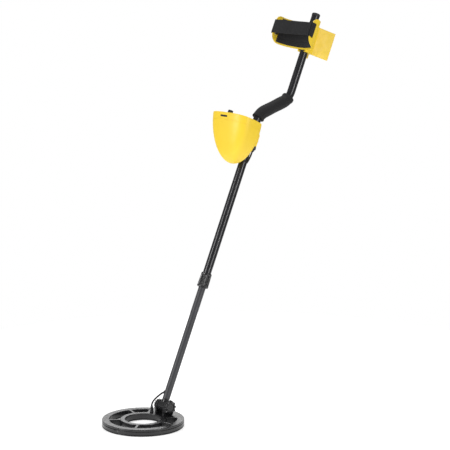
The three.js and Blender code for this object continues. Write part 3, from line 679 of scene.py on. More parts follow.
def coil_plate(name, bottom, top, rounding):
    """The wheel-shaped plate of the coil, with rounded edges, from one height to another. Gives the
    piece, the middle of the wheel and its radius."""
    low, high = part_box("coil_cover")
    centre = (low + high) / 2
    centre.z = 0
    radius = (high.x - low.x) / 2
    spokes = [REAR + turn * math.tau for turn in SPOKE_TURNS]
    outlines = [
        arc(centre, radius, 0, math.tau, RIM_SIDES)[:-1],
        arc(centre, HUB_INNER, 0, math.tau, HUB_SIDES)[:-1],
    ]
    outlines += [spoke_pocket(centre, a, b) for a, b in zip(spokes, spokes[1:])]
    data = bpy.data.curves.new(name, "CURVE")
    data.dimensions = "2D"
    data.fill_mode = "BOTH"
    data.extrude = (top - bottom) / 2 - rounding
    data.bevel_depth = rounding
    data.bevel_resolution = 3
    data.offset = -rounding
    for outline in outlines:
        spline = data.splines.new("POLY")
        spline.points.add(len(outline) - 1)
        for point, target in zip(outline, spline.points):
            target.co = (point.x, point.y, 0, 1)
        spline.use_cyclic_u = True
    source = add_object(name, data)
    mesh = finished_mesh(source)
    bpy.data.objects.remove(source)
    with editing(mesh) as work:
        bmesh.ops.remove_doubles(work, verts=work.verts, dist=1e-6)
        bmesh.ops.translate(work, vec=(0, 0, (top + bottom) / 2), verts=work.verts)
    return link_piece(name, mesh, WORLD), centre, radius


EAR_RADIUS = 0.015
EAR_INNER = 0.0115
EAR_OUTER = 0.0175
AXLE_HOLE = 0.0044
BOLT_RADIUS = 0.004
HAND_KNOB_FLUTES = 10
HAND_KNOB_FLUTE_DEPTH = 0.0036
BOLT_HEAD_FLUTES = 14
BOLT_HEAD_FLUTE_DEPTH = 0.0020


def coil_ear(side):
    """One of the two ears that hold the hinge, with a wide foot."""
    foot = COIL_HEIGHT - 0.001
    wide = EAR_RADIUS + 0.004
    waist = EAR_RADIUS + 0.001
    outline = [(-wide, foot), (wide, foot), (waist, foot + 0.004)]
    for i in range(25):
        turn = math.pi * i / 24
        outline.append((EAR_RADIUS * math.cos(turn), HINGE.z + EAR_RADIUS * math.sin(turn)))
    outline.append((-waist, foot + 0.004))
    start = EAR_INNER if side > 0 else -EAR_OUTER
    place = sideways((start, 0, 0))
    return soften(prism("ear", outline, EAR_OUTER - EAR_INNER, place), 0.0008)


def rim_groove(centre, radius):
    """The ring that cuts the groove round the coil's edge, turned so that no corners coincide."""
    floor = radius - GROOVE_DEPTH
    beyond = radius + 0.004
    outline = [(floor, GROOVE_LOW), (beyond, GROOVE_LOW), (beyond, GROOVE_HIGH), (floor, GROOVE_HIGH)]
    place = Matrix.Translation(centre) @ Matrix.Rotation(math.pi / RIM_SIDES, 4, "Z")
    return turned("groove", outline, place, RIM_SIDES, hollow=True)


def search_coil():
    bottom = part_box("coil_cover")[1].z + SEAM
    shell, centre, radius = coil_plate("coil_shell_moulding", bottom, COIL_HEIGHT, 0.0016)
    combine(shell, "UNION", coil_ear(1), coil_ear(-1))
    hole = turned("hole", [(AXLE_HOLE, -0.03), (AXLE_HOLE, 0.03)], sideways(HINGE), 32)
    combine(shell, "DIFFERENCE", hole)
    combine(shell, "DIFFERENCE", rim_groove(centre, radius))
    stand_for(soften(merge_flat(shell), crease=40), "coil_shell")

    cover = coil_plate("coil_cover_plate", 0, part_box("coil_cover")[1].z, 0.0007)[0]
    stand_for(soften(cover, crease=40), "coil_cover")
    cable_gland()


def cable_gland():
    """A tapered strain relief with moulded rings."""
    low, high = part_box("cable_gland")
    base = (high.x - low.x) / 2
    height = high.z - low.z
    outline = [(0, 0), (base, 0), (base, 0.0024), (base - 0.0006, 0.003), (0.0044, 0.0034)]
    rings = 6
    for i in range(rings):
        at = 0.0045 + (height - 0.006) * i / rings
        wide = 0.0043 - 0.0013 * i / rings
        narrow = wide - 0.0008
        outline += [(wide, at), (wide, at + 0.0014), (narrow, at + 0.0017), (narrow, at + 0.0024)]
    outline += [(0.0030, height - 0.0006), (0.0026, height), (0, height)]
    middle = (low + high) / 2
    middle.z = low.z
    piece = turned("cable_gland_boot", outline, Matrix.Translation(middle), 40)
    stand_for(soften(piece, crease=50), "cable_gland")


# ---- fluted knobs and nuts ----

def fluted(name, levels, flutes, depth, place, bore=None, samples=10):
    """A knob or nut with scallops round its side. Levels are (height, radius, share of the scallops)
    from one end to the other, and a bore makes it a ring."""
    count = flutes * samples
    rings = []
    for height, radius, share in levels:
        ring = []
        for i in range(count):
            turn = math.tau * i / count
            r = radius - share * depth * (0.5 - 0.5 * math.cos(flutes * turn))
            ring.append(Vector((r * math.cos(turn), r * math.sin(turn), height)))
        rings.append(ring)
    if bore is None:
        return new_piece(name, *skin(rings), place)
    inside = [circle(bore, count, height) for height in (levels[-1][0], levels[0][0])]
    return new_piece(name, *skin(rings + inside, around=True), place)


def knob_levels(radius, low, high, edge):
    """The levels of a tuning knob, slightly tapered, with a shallow dish in its top."""
    top = radius * 0.97
    return [
        (low, radius - edge, 0.7), (low + edge * 0.3, radius - edge * 0.3, 1), (low + edge, radius, 1),
        (high - edge, top, 1), (high - edge * 0.3, top - edge * 0.3, 1), (high, top - edge, 0.8),
        (high, radius * 0.78, 0.1), (high - 0.0006, radius * 0.74, 0), (high - 0.0007, radius * 0.1, 0),
    ]


def hinge():
    place = sideways((0, HINGE.y, HINGE.z))
    low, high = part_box("hinge_knob")
    radius = (high.z - low.z) / 2
    levels = [
        (low.x, radius - 0.0020, 0.6), (low.x + 0.0010, radius - 0.0004, 1), (low.x + 0.0022, radius, 1),
        (high.x - 0.0030, radius - 0.0008, 1), (high.x - 0.0010, radius - 0.0020, 1),
        (high.x, radius - 0.0040, 0.7), (high.x, radius * 0.52, 0), (high.x - 0.0016, radius * 0.46, 0),
        (high.x - 0.0018, 0.0001, 0),
    ]
    knob = fluted(
        "hinge_hand_knob", levels, HAND_KNOB_FLUTES, HAND_KNOB_FLUTE_DEPTH, place, samples=16)
    stand_for(soften(knob, crease=50), "hinge_knob")

    low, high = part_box("hinge_bolt")
    radius = (high.z - low.z) / 2
    levels = [
        (low.x, 0.0001, 0), (low.x, radius - 0.0018, 0.6), (low.x + 0.0004, radius - 0.0006, 1),
        (low.x + 0.0012, radius, 1), (low.x + 0.0042, radius, 1), (low.x + 0.0050, radius - 0.0008, 1),
        (low.x + 0.0050, BOLT_RADIUS, 0), (high.x - 0.0006, BOLT_RADIUS, 0),
        (high.x, BOLT_RADIUS - 0.0006, 0),
    ]
    bolt = fluted("hinge_bolt_turned", levels, BOLT_HEAD_FLUTES, BOLT_HEAD_FLUTE_DEPTH, place)
    stand_for(soften(bolt, crease=50), "hinge_bolt")
    refined("hinge_washer_left", 0.0002)
    refined("hinge_washer_right", 0.0002)


# ---- stem, lock and main tube ----

HANDLE_START = 0.817
HANDLE_LENGTH = 0.1192
HANDLE_ANGLE = math.radians(49.4)
BEND_RADIUS = 0.050
BEND_STEPS = 20
TUBE_SIDES = 56
MAIN_WALL = 0.0012
STEM_WALL = 0.0013


def straight_tube(name, radius, bore, low, high):
    edge = 0.0003
    outline = [
        (bore, low), (radius - edge, low), (radius, low + edge), (radius, high - edge),
        (radius - edge, high), (bore, high),
    ]
    return soften(turned(name, outline, SHAFT, TUBE_SIDES, hollow=True), crease=50)


def main_radius():
    return span("main_tube")[1].x


def arm_offset():
    """How far back of the shaft's axis the straight under the arm lies."""
    return span("main_tube")[1].y - main_radius()


def tube_stations():
    """Places along the middle of the S-shaped tube: y, z and how far it leans back there. The first and
    the last are its ends, and each bend has one more than BEND_STEPS."""
    low, high = span("main_tube")
    tangent = BEND_RADIUS * math.tan(HANDLE_ANGLE / 2)
    second = HANDLE_LENGTH - tangent
    second_y = second * math.sin(HANDLE_ANGLE)
    second_z = HANDLE_START + second * math.cos(HANDLE_ANGLE)
    bends = [(0, HANDLE_START - tangent, 0, HANDLE_ANGLE), (second_y, second_z, HANDLE_ANGLE, 0)]
    stations = [(0, low.z, 0)]
    for y, z, start, end in bends:
        reach = math.copysign(BEND_RADIUS, end - start)
        for i in range(BEND_STEPS + 1):
            lean = start + (end - start) * i / BEND_STEPS
            stations.append((
                y + reach * (math.cos(start) - math.cos(lean)),
                z + reach * (math.sin(lean) - math.sin(start)),
                lean,
            ))
    stations.append((arm_offset(), high.z, 0))
    return stations


def ring_at(station, radius, sides=TUBE_SIDES):
    y, z, lean = station
    ring = []
    for point in circle(radius, sides):
        ring.append(Vector((point.x, y + point.y * math.cos(lean), z - point.y * math.sin(lean))))
    return ring


def main_tube():
    stations = tube_stations()
    outer = [ring_at(s, main_radius()) for s in stations]
    inner = [ring_at(s, main_radius() - MAIN_WALL) for s in reversed(stations)]
    tube = new_piece("main_tube_painted", *skin(outer + inner, around=True))
    stand_for(soften(tube, crease=50), "main_tube")


def end_plug():
    """The cap in the tube's top end, with a domed flange."""
    low, high = span("end_plug")
    radius = high.x
    shank = radius - 0.0018
    height = high.z - low.z
    flange = height - 0.0078
    rounding = 0.0034
    outline = [(0, 0), (shank, 0), (shank, flange), (radius, flange), (radius, height - rounding)]
    for i in range(1, 9):
        turn = math.pi / 2 * i / 8
        outline.append((
            radius - rounding * (1 - math.cos(turn)), height - rounding * (1 - math.sin(turn))))
    outline.append((0, height))
    place = SHAFT @ Matrix.Translation((0, (low.y + high.y) / 2, low.z))
    stand_for(soften(turned("end_plug_cap", outline, place, 48), crease=40), "end_plug")


def lower_stem():
    low, high = span("lower_stem")
    stem = straight_tube("lower_stem_painted", high.x, high.x - STEM_WALL, low.z, high.z)
    stand_for(stem, "lower_stem", look=SATIN_PAINT)
    refined("stem_foot", 0.0006)
    refined("stem_grommet", 0.0006)
    refined("stem_bush", 0.0003)


LOCK_RIBS = 12
LOCK_RIB_DEPTH = 0.0022
# The twist lock's sleeve: share of its length, share of its radius, and share of its ribs' depth.
LOCK_SHAPE = [
    (0, 0.90, 0), (0.015, 0.97, 0.1), (0.045, 1.04, 0.2), (0.10, 1.06, 0.3), (0.13, 1.05, 1),
    (0.55, 1.02, 1), (0.82, 0.985, 1), (0.86, 0.985, 0.3), (0.93, 0.975, 0.1), (0.975, 0.95, 0.1),
    (1, 0.89, 0),
]


def twist_lock():
    low, high = span("lock_nut")
    length = high.z - low.z
    levels = [(low.z + share * length, high.x * wide, ribs) for share, wide, ribs in LOCK_SHAPE]
    bore = main_radius() + 0.0004
    nut = fluted("lock_nut_sleeve", levels, LOCK_RIBS, LOCK_RIB_DEPTH, SHAFT, bore, samples=12)
    stand_for(soften(nut, crease=50), "lock_nut")
    refined("lock_ferrule", 0.0003)
    refined("lock_collet", 0.0003)


# ---- foam handle ----

FOAM_RADIUS = 0.0165
FOAM_SIDES = 96
FOAM_EDGE = 0.0018
WRINKLE = 0.0005


def handle_stations():
    """The part of the tube inside the foam: most of the first bend, the slope and half of the second."""
    stations = tube_stations()
    first_bend = stations[1:BEND_STEPS + 2]
    second_bend = stations[BEND_STEPS + 2:-1]
    (y, z, _), (end_y, end_z, _) = first_bend[-1], second_bend[0]
    steps = 24
    slope = []
    for i in range(1, steps):
        share = i / steps
        slope.append((y + (end_y - y) * share, z + (end_z - z) * share, HANDLE_ANGLE))
    return first_bend[7:-1] + slope + second_bend[:11]


def slid(station, reach):
    """A station moved along the tube's own direction."""
    y, z, lean = station
    return y + reach * math.sin(lean), z + reach * math.cos(lean), lean


def foam_ring(station, along, length):
    """The foam's outside at a station: slightly swollen, with a lip at each end and shallow wrinkles
    where the inside of a bend squeezes it."""
    share = along / length
    swell = 0.0004 * math.sin(math.pi * share) - 0.0003 * math.cos(2 * math.tau * share)
    lip = 0.0016 * math.exp(-((share - 0.975) / 0.02) ** 2) + 0.0009 * math.exp(-(share / 0.03) ** 2)
    ring = ring_at(station, FOAM_RADIUS + swell + lip, FOAM_SIDES)
    y, z, lean = station
    centre = Vector((0, y, z))
    bent = abs(lean - HANDLE_ANGLE) / HANDLE_ANGLE
    way = 1 if share < 0.5 else -1
    for i, point in enumerate(ring):
        inside = max(way * math.sin(math.tau * i / FOAM_SIDES), 0)
        wrinkle = bent * inside * WRINKLE * math.sin(along * 1400)
        ring[i] = point + (point - centre).normalized() * wrinkle
    return ring


def foam_grip():
    """The foam sleeve on the handle, with rounded ends."""
    handle = handle_stations()
    along = [0.0]
    for a, b in zip(handle, handle[1:]):
        along.append(along[-1] + math.hypot(b[0] - a[0], b[1] - a[1]))
    rings = [foam_ring(station, distance, along[-1]) for station, distance in zip(handle, along)]
    lips = {-1: [], 1: []}
    for way, station in ((-1, handle[0]), (1, handle[-1])):
        for i in range(1, 6):
            turn = math.pi / 2 * i / 5
            radius = FOAM_RADIUS + 0.0008 - FOAM_EDGE * (1 - math.cos(turn))
            lips[way].append(ring_at(slid(station, way * FOAM_EDGE * math.sin(turn)), radius, FOAM_SIDES))
    bore = main_radius() + 0.0002
    ends = [ring_at(slid(handle[-1], FOAM_EDGE), bore, FOAM_SIDES),
            ring_at(slid(handle[0], -FOAM_EDGE), bore, FOAM_SIDES)]
    grip = new_piece("foam_grip_sleeve", *skin([*lips[-1][::-1], *rings, *lips[1], *ends], around=True))
    stand_for(soften(grip, crease=60), "foam_grip")


# ---- control pod ----

POD_DEPTH = 0.1185
POD_HALF_DEPTH = 0.048
POD_SHEAR = 0.23
POD_POINT = 1.1
POD_SQUARENESS = 2 / 3
POD_WALL = 0.0025
POD_SEAM = 0.0002
POD_SIDES = 144
POD_STEPS = 44
SMALLEST = 0.0004
BEZEL_HEIGHT = 0.019
BEZEL_LIP = 0.0012
FLAP_THICKNESS = 0.0022


def pod_ring(depth, inset):
    """The pod's outline this deep under its rim, moved in by the inset."""
    low, high = span("pod_bezel")
    shrink = math.sqrt(max(1 - (depth / POD_DEPTH) ** (2 / POD_POINT), 0))
    half_width = max(high.x * shrink - inset, SMALLEST)
    half_depth = max(POD_HALF_DEPTH * shrink - inset, SMALLEST)
    middle = low.y + POD_HALF_DEPTH + POD_SHEAR * depth
    ring = []
    for point in circle(1, POD_SIDES):
        x = math.copysign(abs(point.x) ** POD_SQUARENESS, point.x)
        y = math.copysign(abs(point.y) ** POD_SQUARENESS, point.y)
        ring.append(Vector((half_width * x, middle + half_depth * y, high.z - depth)))
    return ring


def egg_shell(name, top, wall):
    """The half egg below a depth, as a shell open at the top."""
    start = math.asin(top / POD_DEPTH)
    angles = [start + (math.pi / 2 - start) * i / POD_STEPS for i in range(1, POD_STEPS)]
    seam = POD_SEAM
    outer = [pod_ring(top, seam), pod_ring(top + 0.4 * seam, 0.3 * seam), pod_ring(top + seam, 0)]
    outer += [pod_ring(POD_DEPTH * math.sin(a), 0) for a in angles]
    outer.append(pod_ring(POD_DEPTH * 0.9999, 0))
    inner = [pod_ring(top, wall)]
    inner += [pod_ring((POD_DEPTH - wall) * math.sin(a), wall) for a in angles[:-1]]
    return new_piece(name, *skin([*reversed(inner), *outer]))


def pod_band(name, profile):
    """A band round the pod's rim, from (depth, inset) pairs."""
    return new_piece(name, *skin([pod_ring(depth, inset) for depth, inset in profile], around=True))


def side_cutter(node, margin, radius):
    """A bar with a rounded section, a margin larger than the node, that runs out to the user's right."""
    low, high = span(node)
    outline = rounded_box_outline(
        (low.y - margin, low.z - margin), (high.y + margin, high.z + margin), radius)
    return prism("cutter", outline, 0.08, SHAFT @ sideways((-0.1, 0, 0)))


def front_cutter(node, margin, radius):
    """The same, running out forward."""
    low, high = span(node)
    outline = rounded_box_outline(
        (low.x - margin, low.z - margin), (high.x + margin, high.z + margin), radius)
    place = SHAFT @ axes((1, 0, 0), (0, 0, 1), (0, -1, 0), (0, -0.106, 0))
    return prism("cutter", outline, 0.06, place)


def pod_hull():
    """The half egg, and the battery door cut out of it."""
    hull = egg_shell("pod_hull_shell", BEZEL_HEIGHT + 0.0001, POD_WALL)
    door = add_object("battery_door_panel", hull.data.copy())
    door.matrix_world = hull.matrix_world
    combine(hull, "DIFFERENCE", side_cutter("battery_door", 0.0004, 0.0034))
    combine(door, "INTERSECT", side_cutter("battery_door", 0, 0.003))
    stand_for(soften(hull, crease=40), "pod_hull")
    stand_for(soften(door, 0.0003, crease=50, segments=2), "battery_door")


def bezel_profile():
    """The rim's section as (depth, inset) pairs: up the outside, over the lip, down the inside past the
    panel, and round the ledge that holds it."""
    profile = [(BEZEL_HEIGHT, 0.0002), (BEZEL_HEIGHT - 0.0001, 0), (BEZEL_HEIGHT - 0.0006, 0)]
    profile += [(BEZEL_HEIGHT * (1 - i / 10), 0) for i in range(1, 10)]
    for i in range(7):
        turn = math.pi / 2 * i / 6
        profile.append((BEZEL_LIP * (1 - math.sin(turn)), BEZEL_LIP * (1 - math.cos(turn))))
    return profile + [
        (0, 0.0024), (0.0002, 0.0028), (0.0006, 0.003), (0.0073, 0.003), (0.0073, 0.0075),
        (0.0104, 0.0075), (0.0104, 0.0036), (BEZEL_HEIGHT, 0.0036),
    ]


def pod_bezel():
    """The pod's rim, and the flap over the headphone jack cut out of the same band."""
    bezel = pod_band("pod_bezel_band", bezel_profile())
    flap = pod_band("jack_cover_flap", [
        (BEZEL_HEIGHT, -0.0003), (0.001, -0.0003), (0.001, FLAP_THICKNESS), (BEZEL_HEIGHT, FLAP_THICKNESS),
    ])
    combine(bezel, "DIFFERENCE", front_cutter("jack_cover", 0.0003, 0.0024))
    combine(flap, "INTERSECT", front_cutter("jack_cover", 0, 0.0021))
    stand_for(soften(bezel, crease=40), "pod_bezel")
    stand_for(soften(flap, 0.0003, crease=50, segments=2), "jack_cover")


def pod_bracket():
    refined("pod_saddle", 0.0010, 40)
    refined("pod_clamp", 0.0010, 40)
    refined("coil_socket", 0.0003)
    refined("cable_plug", 0.0006)
    low, high = span("plug_nut")
    middle = joint_in_shaft("plug_nut_turn")
    radius = (high.x - low.x) / 2
    collar = radius - 0.0005
    levels = [
        (low.z, radius - 0.0010, 0), (low.z + 0.0005, radius - 0.0002, 0.4), (low.z + 0.0010, radius, 1),
        (high.z - 0.0022, radius, 1), (high.z - 0.0020, collar, 0), (high.z - 0.0004, collar, 0),
        (high.z, radius - 0.0009, 0),
    ]
    place = up_shaft_at(middle)
    nut = fluted("plug_nut_ring", levels, 24, 0.0005, place, bore=0.0040, samples=6)
    stand_for(soften(nut, crease=50), "plug_nut")
    cross_recess("clamp_screw_1")
    cross_recess("clamp_screw_2")
    refined("tube_grommet", 0.0006)


def cross_recess(node):
    """A screw with the driver's cross in its head, which faces back."""
    screw = refined(node, 0.0004)
    low, high = span(node)
    x = (low.x + high.x) / 2
    z = (low.z + high.z) / 2
    long, thin, deep = 0.0019, 0.0004, 0.0011
    for half_x, half_z in ((long, thin), (thin, long)):
        slot = block(
            "slot", (x - half_x, high.y - deep, z - half_z), (x + half_x, high.y + 0.001, z + half_z))
        combine(screw, "DIFFERENCE", slot)
    soften(screw, crease=30)


# ---- control panel ----

def control_knob(name, pointer_length):
    """A tuning or power knob with the white pointer on its top."""
    node = name + "_knob"
    low, high = span(node)
    middle = joint_in_shaft(name + "_turn")
    radius = (high.x - low.x) / 2
    panel_top = span("control_panel")[1].z
    top = high.z - 0.0004
    place = up_shaft_at(middle)
    levels = knob_levels(radius, panel_top + 0.0006, top, 0.0010)
    knob = fluted(node + "_cap", levels, 16, radius * 0.07, place, samples=8)
    stand_for(soften(knob, crease=50), node)
    pointer = block(
        node + "_pointer", (-0.0006, radius - pointer_length, top - 0.0012),
        (0.0006, radius * 0.93, top + 0.0002), place)
    dress(soften(pointer, 0.0002), BODY_OF[node], "dial", PRINT)


PRINT_THICKNESS = 0.00008


def scale_marks(name, middle, radius, turns, count, size, height, slot="dial", look=PRINT):
    """Printed ticks on an arc, all in one piece, between two turns in degrees."""
    points = []
    faces = []
    start, end = turns
    for i in range(count):
        turn = math.radians(start + (end - start) * i / (count - 1))
        out = Vector((math.sin(turn), math.cos(turn), 0))
        side = Vector((out.y, -out.x, 0))
        long = size * (1.5 if i % 5 == 0 else 1)
        rings = []
        for level in (height, height + PRINT_THICKNESS):
            foot = Vector((middle.x, middle.y, level))
            rings.append([
                foot + out * (radius + along * long) + side * across * size * 0.16
                for along, across in ((0, -1), (0, 1), (1, 1), (1, -1))
            ])
        gather(points, faces, *skin(rings))
    dress(new_piece(name, points, faces), "shaft", slot, look)


def panel():
    refined("control_panel", 0.0002, 40)
    top = span("control_panel")[1].z
    for name in ("discrimination", "sensitivity"):
        control_knob(name, 0.0050)
        middle = joint_in_shaft(name + "_turn")
        scale_marks(name + "_scale", middle, 0.0114, (-150, 150), 11, 0.0016, top)
    control_knob("power", 0.0040)
    scale_marks("power_scale", joint_in_shaft("power_turn"), 0.0084, (-60, 60), 4, 0.0018, top)
    button(top)
    meter(top)


def button(panel_top):
    """The dished button in its steel collar."""
    low, high = span("pinpoint_button")
    place = up_shaft_at((low + high) / 2)
    radius = (high.x - low.x) / 2
    outline = [
        (0, low.z), (radius, low.z), (radius, high.z - 0.0008), (radius - 0.0003, high.z - 0.0002),
        (radius - 0.0008, high.z), (radius * 0.5, high.z - 0.0003), (0, high.z - 0.0005),
    ]
    stand_for(soften(turned("pinpoint_button_cap", outline, place, 40), crease=50), "pinpoint_button")
    collar_top = panel_top + 0.0007
    collar = turned("pinpoint_collar", [
        (radius + 0.0004, panel_top), (radius + 0.0022, panel_top), (radius + 0.0018, collar_top),
        (radius + 0.0006, collar_top),
    ], place, 48, hollow=True)
    dress(soften(collar, 0.0002), "shaft", "steel")


def meter(panel_top):
    """The meter's printed scale, and the surround of its window."""
    face = span("meter_dial")[1].z
    pivot = joint_in_shaft("needle_swing")
    scale_marks(
        "meter_scale", pivot, 0.0168, (140, 220), 21, 0.0018, face, "board", LOOKS["panel_grey"])
    low, high = span("meter_window")
    rings = []
    for margin, radius, heights in ((0.0024, 0.004, (0, 0.0009)), (-0.0006, 0.0022, (0.0009, 0))):
        outline = rounded_box_outline(
            (low.x - margin, low.y - margin), (high.x + margin, high.y + margin), radius)
        rings += [[Vector((x, y, panel_top + height)) for x, y in outline] for height in heights]
    surround = new_piece("meter_surround", *skin(rings, around=True))
    dress(soften(surround, 0.0003), "shaft", "black_plastic")


# ---- arm cuff ----

CUFF_TOP = 0.070
CUFF_SPRING = 0.058
CUFF_FLOOR = 0.0126
CUFF_WALL = 0.0032
WING_LOW_ROUNDING = 0.030
WING_HIGH_ROUNDING = 0.016
SLOT_LOW = 0.0565
SLOT_HIGH = 0.062
SEAT_HALF_WIDTH = 0.010
PAD_THICKNESS = 0.0030
PAD_CHANNELS = (0.2, 0.5, 0.8)
STRAP_THICKNESS = 0.002
STRAP_SLACK = 0.0015
TAIL_LENGTH = 0.078


def cuff_place():
    """The cuff's own frame: x across, y away from the tube's axis, z along the tube."""
    return SHAFT @ axes((1, 0, 0), (0, -1, 0), (0, 0, 1), (0, arm_offset(), 0))


def cuff_half_width():
    return span("cuff_shell")[1].x


def cuff_outline(inset, top, curve_steps=40, wall_steps=10):
    """The U from wing tip to wing tip, as x and height."""
    half_width = cuff_half_width() - inset
    rise = CUFF_SPRING - CUFF_FLOOR - inset
    last = math.acos((CUFF_SPRING - min(top, CUFF_SPRING)) / rise)
    half = []
    for i in range(curve_steps + 1):
        angle = last * i / curve_steps
        half.append((half_width * math.sin(angle), CUFF_SPRING - rise * math.cos(angle)))
    if top > CUFF_SPRING:
        for i in range(1, wall_steps + 1):
            half.append((half_width, CUFF_SPRING + (top - CUFF_SPRING) * i / wall_steps))
    return [(-x, v) for x, v in reversed(half[1:])] + half


def wing_cut(height, rounding):
    """How much the rounded corner of a wing takes off the cuff's length at this height."""
    over = max(height - (CUFF_TOP - rounding), 0)
    return rounding - math.sqrt(max(rounding ** 2 - over ** 2, 0))


def cuff_shell():
    low, high = span("cuff_shell")
    outside = cuff_outline(0.0, CUFF_TOP - 0.0002)
    inside = cuff_outline(CUFF_WALL, CUFF_TOP - 0.0002)
    steps = 14
    rings = []
    for i in range(steps + 1):
        ring = []
        for x, v in outside + inside[::-1]:
            near = low.z + wing_cut(v, WING_LOW_ROUNDING)
            far = high.z - wing_cut(v, WING_HIGH_ROUNDING)
            ring.append(Vector((x, v, near + (far - near) * i / steps)))
        rings.append(ring)
    shell = new_piece("cuff_shell_moulding", *skin(rings), cuff_place())
    strap_low, strap_high = span("arm_strap")
    outline = rounded_box_outline(
        (SLOT_LOW, strap_low.z - 0.0012), (SLOT_HIGH, strap_high.z + 0.0012), 0.002)
    slot = prism("slot", outline, 0.16, cuff_place() @ sideways((-0.08, 0, 0)))
    combine(shell, "DIFFERENCE", slot)
    stand_for(soften(shell, 0.0008, crease=42), "cuff_shell")


def cuff_seat():
    """The rubber seat that fills the gap between the cuff, the stand and the top of the tube."""
    low, high = span("cuff_stand")
    stand_top = arm_offset() - low.y + CLEAR
    tube_top = main_radius() + CLEAR
    steps = 24
    under = []
    over = []
    for i in range(steps + 1):
        x = SEAT_HALF_WIDTH * (2 * i / steps - 1)
        under.append((x, max(stand_top, math.sqrt(max(tube_top ** 2 - x ** 2, 0)))))
        drop = math.sqrt(1 - (x / cuff_half_width()) ** 2)
        over.append((x, CUFF_SPRING - (CUFF_SPRING - CUFF_FLOOR) * drop - CLEAR))
    place = cuff_place() @ Matrix.Translation((0, 0, low.z + 0.001))
    seat = prism("cuff_seat", under + over[::-1], high.z - low.z - 0.002, place)
    bolt_low, bolt_high = span("cuff_bolt")
    down = axes((1, 0, 0), (0, 0, -1), (0, 1, 0), (0, 0, (bolt_low.z + bolt_high.z) / 2))
    bolt_hole = turned("hole", [(0.0042, -0.03), (0.0042, 0.03)], cuff_place() @ down, 32)
    combine(seat, "DIFFERENCE", bolt_hole)
    dress(soften(seat, 0.0003), "shaft", "black_rubber")


def cuff_pad():
    """The foam lining: crowned between sewn channels, with a bound edge."""
    low, high = span("cuff_pad")
    length = high.z - low.z
    outline = cuff_outline(CUFF_WALL + 0.0003, SLOT_LOW - 0.006, 60)
    last = len(outline) - 1
    steps = 36
    rings = []
    for i in range(steps + 1):
        share = i / steps
        back = [Vector((x, v, low.z + length * share)) for x, v in outline]
        seam = sum(math.exp(-((share - c) * length / 0.0012) ** 2) for c in PAD_CHANNELS)
        front = []
        for j, point in enumerate(back):
            before = outline[max(j - 1, 0)]
            after = outline[min(j + 1, last)]
            inward = Vector((before[1] - after[1], after[0] - before[0], 0)).normalized()
            from_edge = min(min(share, 1 - share) * length, min(j, last - j) / last * 0.19)
            crown = 1 - 0.55 * math.exp(-from_edge / 0.0025)
            front.append(point + inward * PAD_THICKNESS * 1.1 * max(crown - 0.4 * seam, 0.25))
        rings.append(back + front[::-1])
    pad = new_piece("cuff_pad_lining", *skin(rings), cuff_place())
    stand_for(soften(pad, crease=60), "cuff_pad")


def strap_path():
    """The middle of the strap, as x and height: out of one slot, over that wing's tip, across, and
    down into the other slot."""
    half_width = cuff_half_width()
    inside = half_width - CUFF_WALL - 0.001 - STRAP_THICKNESS / 2
    outside = half_width + 0.0003 + STRAP_SLACK + STRAP_THICKNESS / 2
    slot = (SLOT_LOW + SLOT_HIGH) / 2
    tip = CUFF_TOP + 0.0006 + STRAP_THICKNESS / 2
    half = [
        (inside, SLOT_LOW - 0.0035), (inside, slot - 0.0026), (inside + 0.0007, slot - 0.0006),
        (inside + 0.0028, slot), (outside - 0.0028, slot), (outside - 0.0007, slot + 0.0006),
        (outside, slot + 0.0030), (outside, tip - 0.0036), (outside - 0.0006, tip - 0.0012),
        (outside - 0.0034, tip),
    ]
    steps = 24
    across = []
    for i in range(1, steps):
        x = (outside - 0.0034) * (1 - 2 * i / steps)
        across.append((x, tip + 0.0017 * math.sin(math.pi * i / steps)))
    return half + across + [(-x, v) for x, v in reversed(half)]


def ribbon(name, path, low, high, thickness, waver):
    """A flat band of webbing along a path of x and height, from low to high along the tube. Its
    selvedges are thinner, and it wavers a little along the tube."""
    middle = smooth_path([(x, v, 0) for x, v in path], 3)
    last = len(middle) - 1
    steps = 10
    rings = []
    for i, point in enumerate(middle):
        ahead = (middle[min(i + 1, last)] - middle[max(i - 1, 0)]).normalized()
        out = Vector((ahead.y, -ahead.x, 0))
        start = low + waver * math.sin(9 * i / last)
        faces = {1: [], -1: []}
        for k in range(steps + 1):
            z = start + (high - low) * k / steps
            edge = min(k, steps - k) / steps * (high - low)
            half = thickness / 2 * (1 - 0.35 * math.exp(-edge / 0.0009))
            for side in faces:
                faces[side].append(point + out * side * half + Vector((0, 0, z)))
        rings.append(faces[1] + faces[-1][::-1])
    return new_piece(name, *skin(rings), cuff_place()), path_length(middle)


def arm_strap():
    """The strap, and its overlapping end stitched down on it."""
    low, high = span("arm_strap")
    strap, length = ribbon("arm_strap_webbing", strap_path(), low.z, high.z, 0.0017, 0.0003)
    stand_for(soften(strap, crease=50), "arm_strap")

    tip = CUFF_TOP + 0.00365
    steps = 16
    path = []
    for i in range(steps + 1):
        x = high.x - 0.006 - TAIL_LENGTH * i / steps
        path.append((x, tip + 0.0017 * math.cos(x / high.x * math.pi / 2)))
    narrower = 0.0008
    tail, tail_length = ribbon(
        "arm_strap_tail", path, low.z + narrower, high.z - narrower, 0.0016, 0.0002)
    dress(soften(tail, crease=50), "shaft", "webbing")
    strap_stitches(path[-1], low.z + 0.004, high.z - 0.004)


# A stitch's levels: height over the webbing, and share of its width.
STITCH_LEVELS = [(-0.0003, 1), (0.0002, 1), (0.0004, 0.5)]


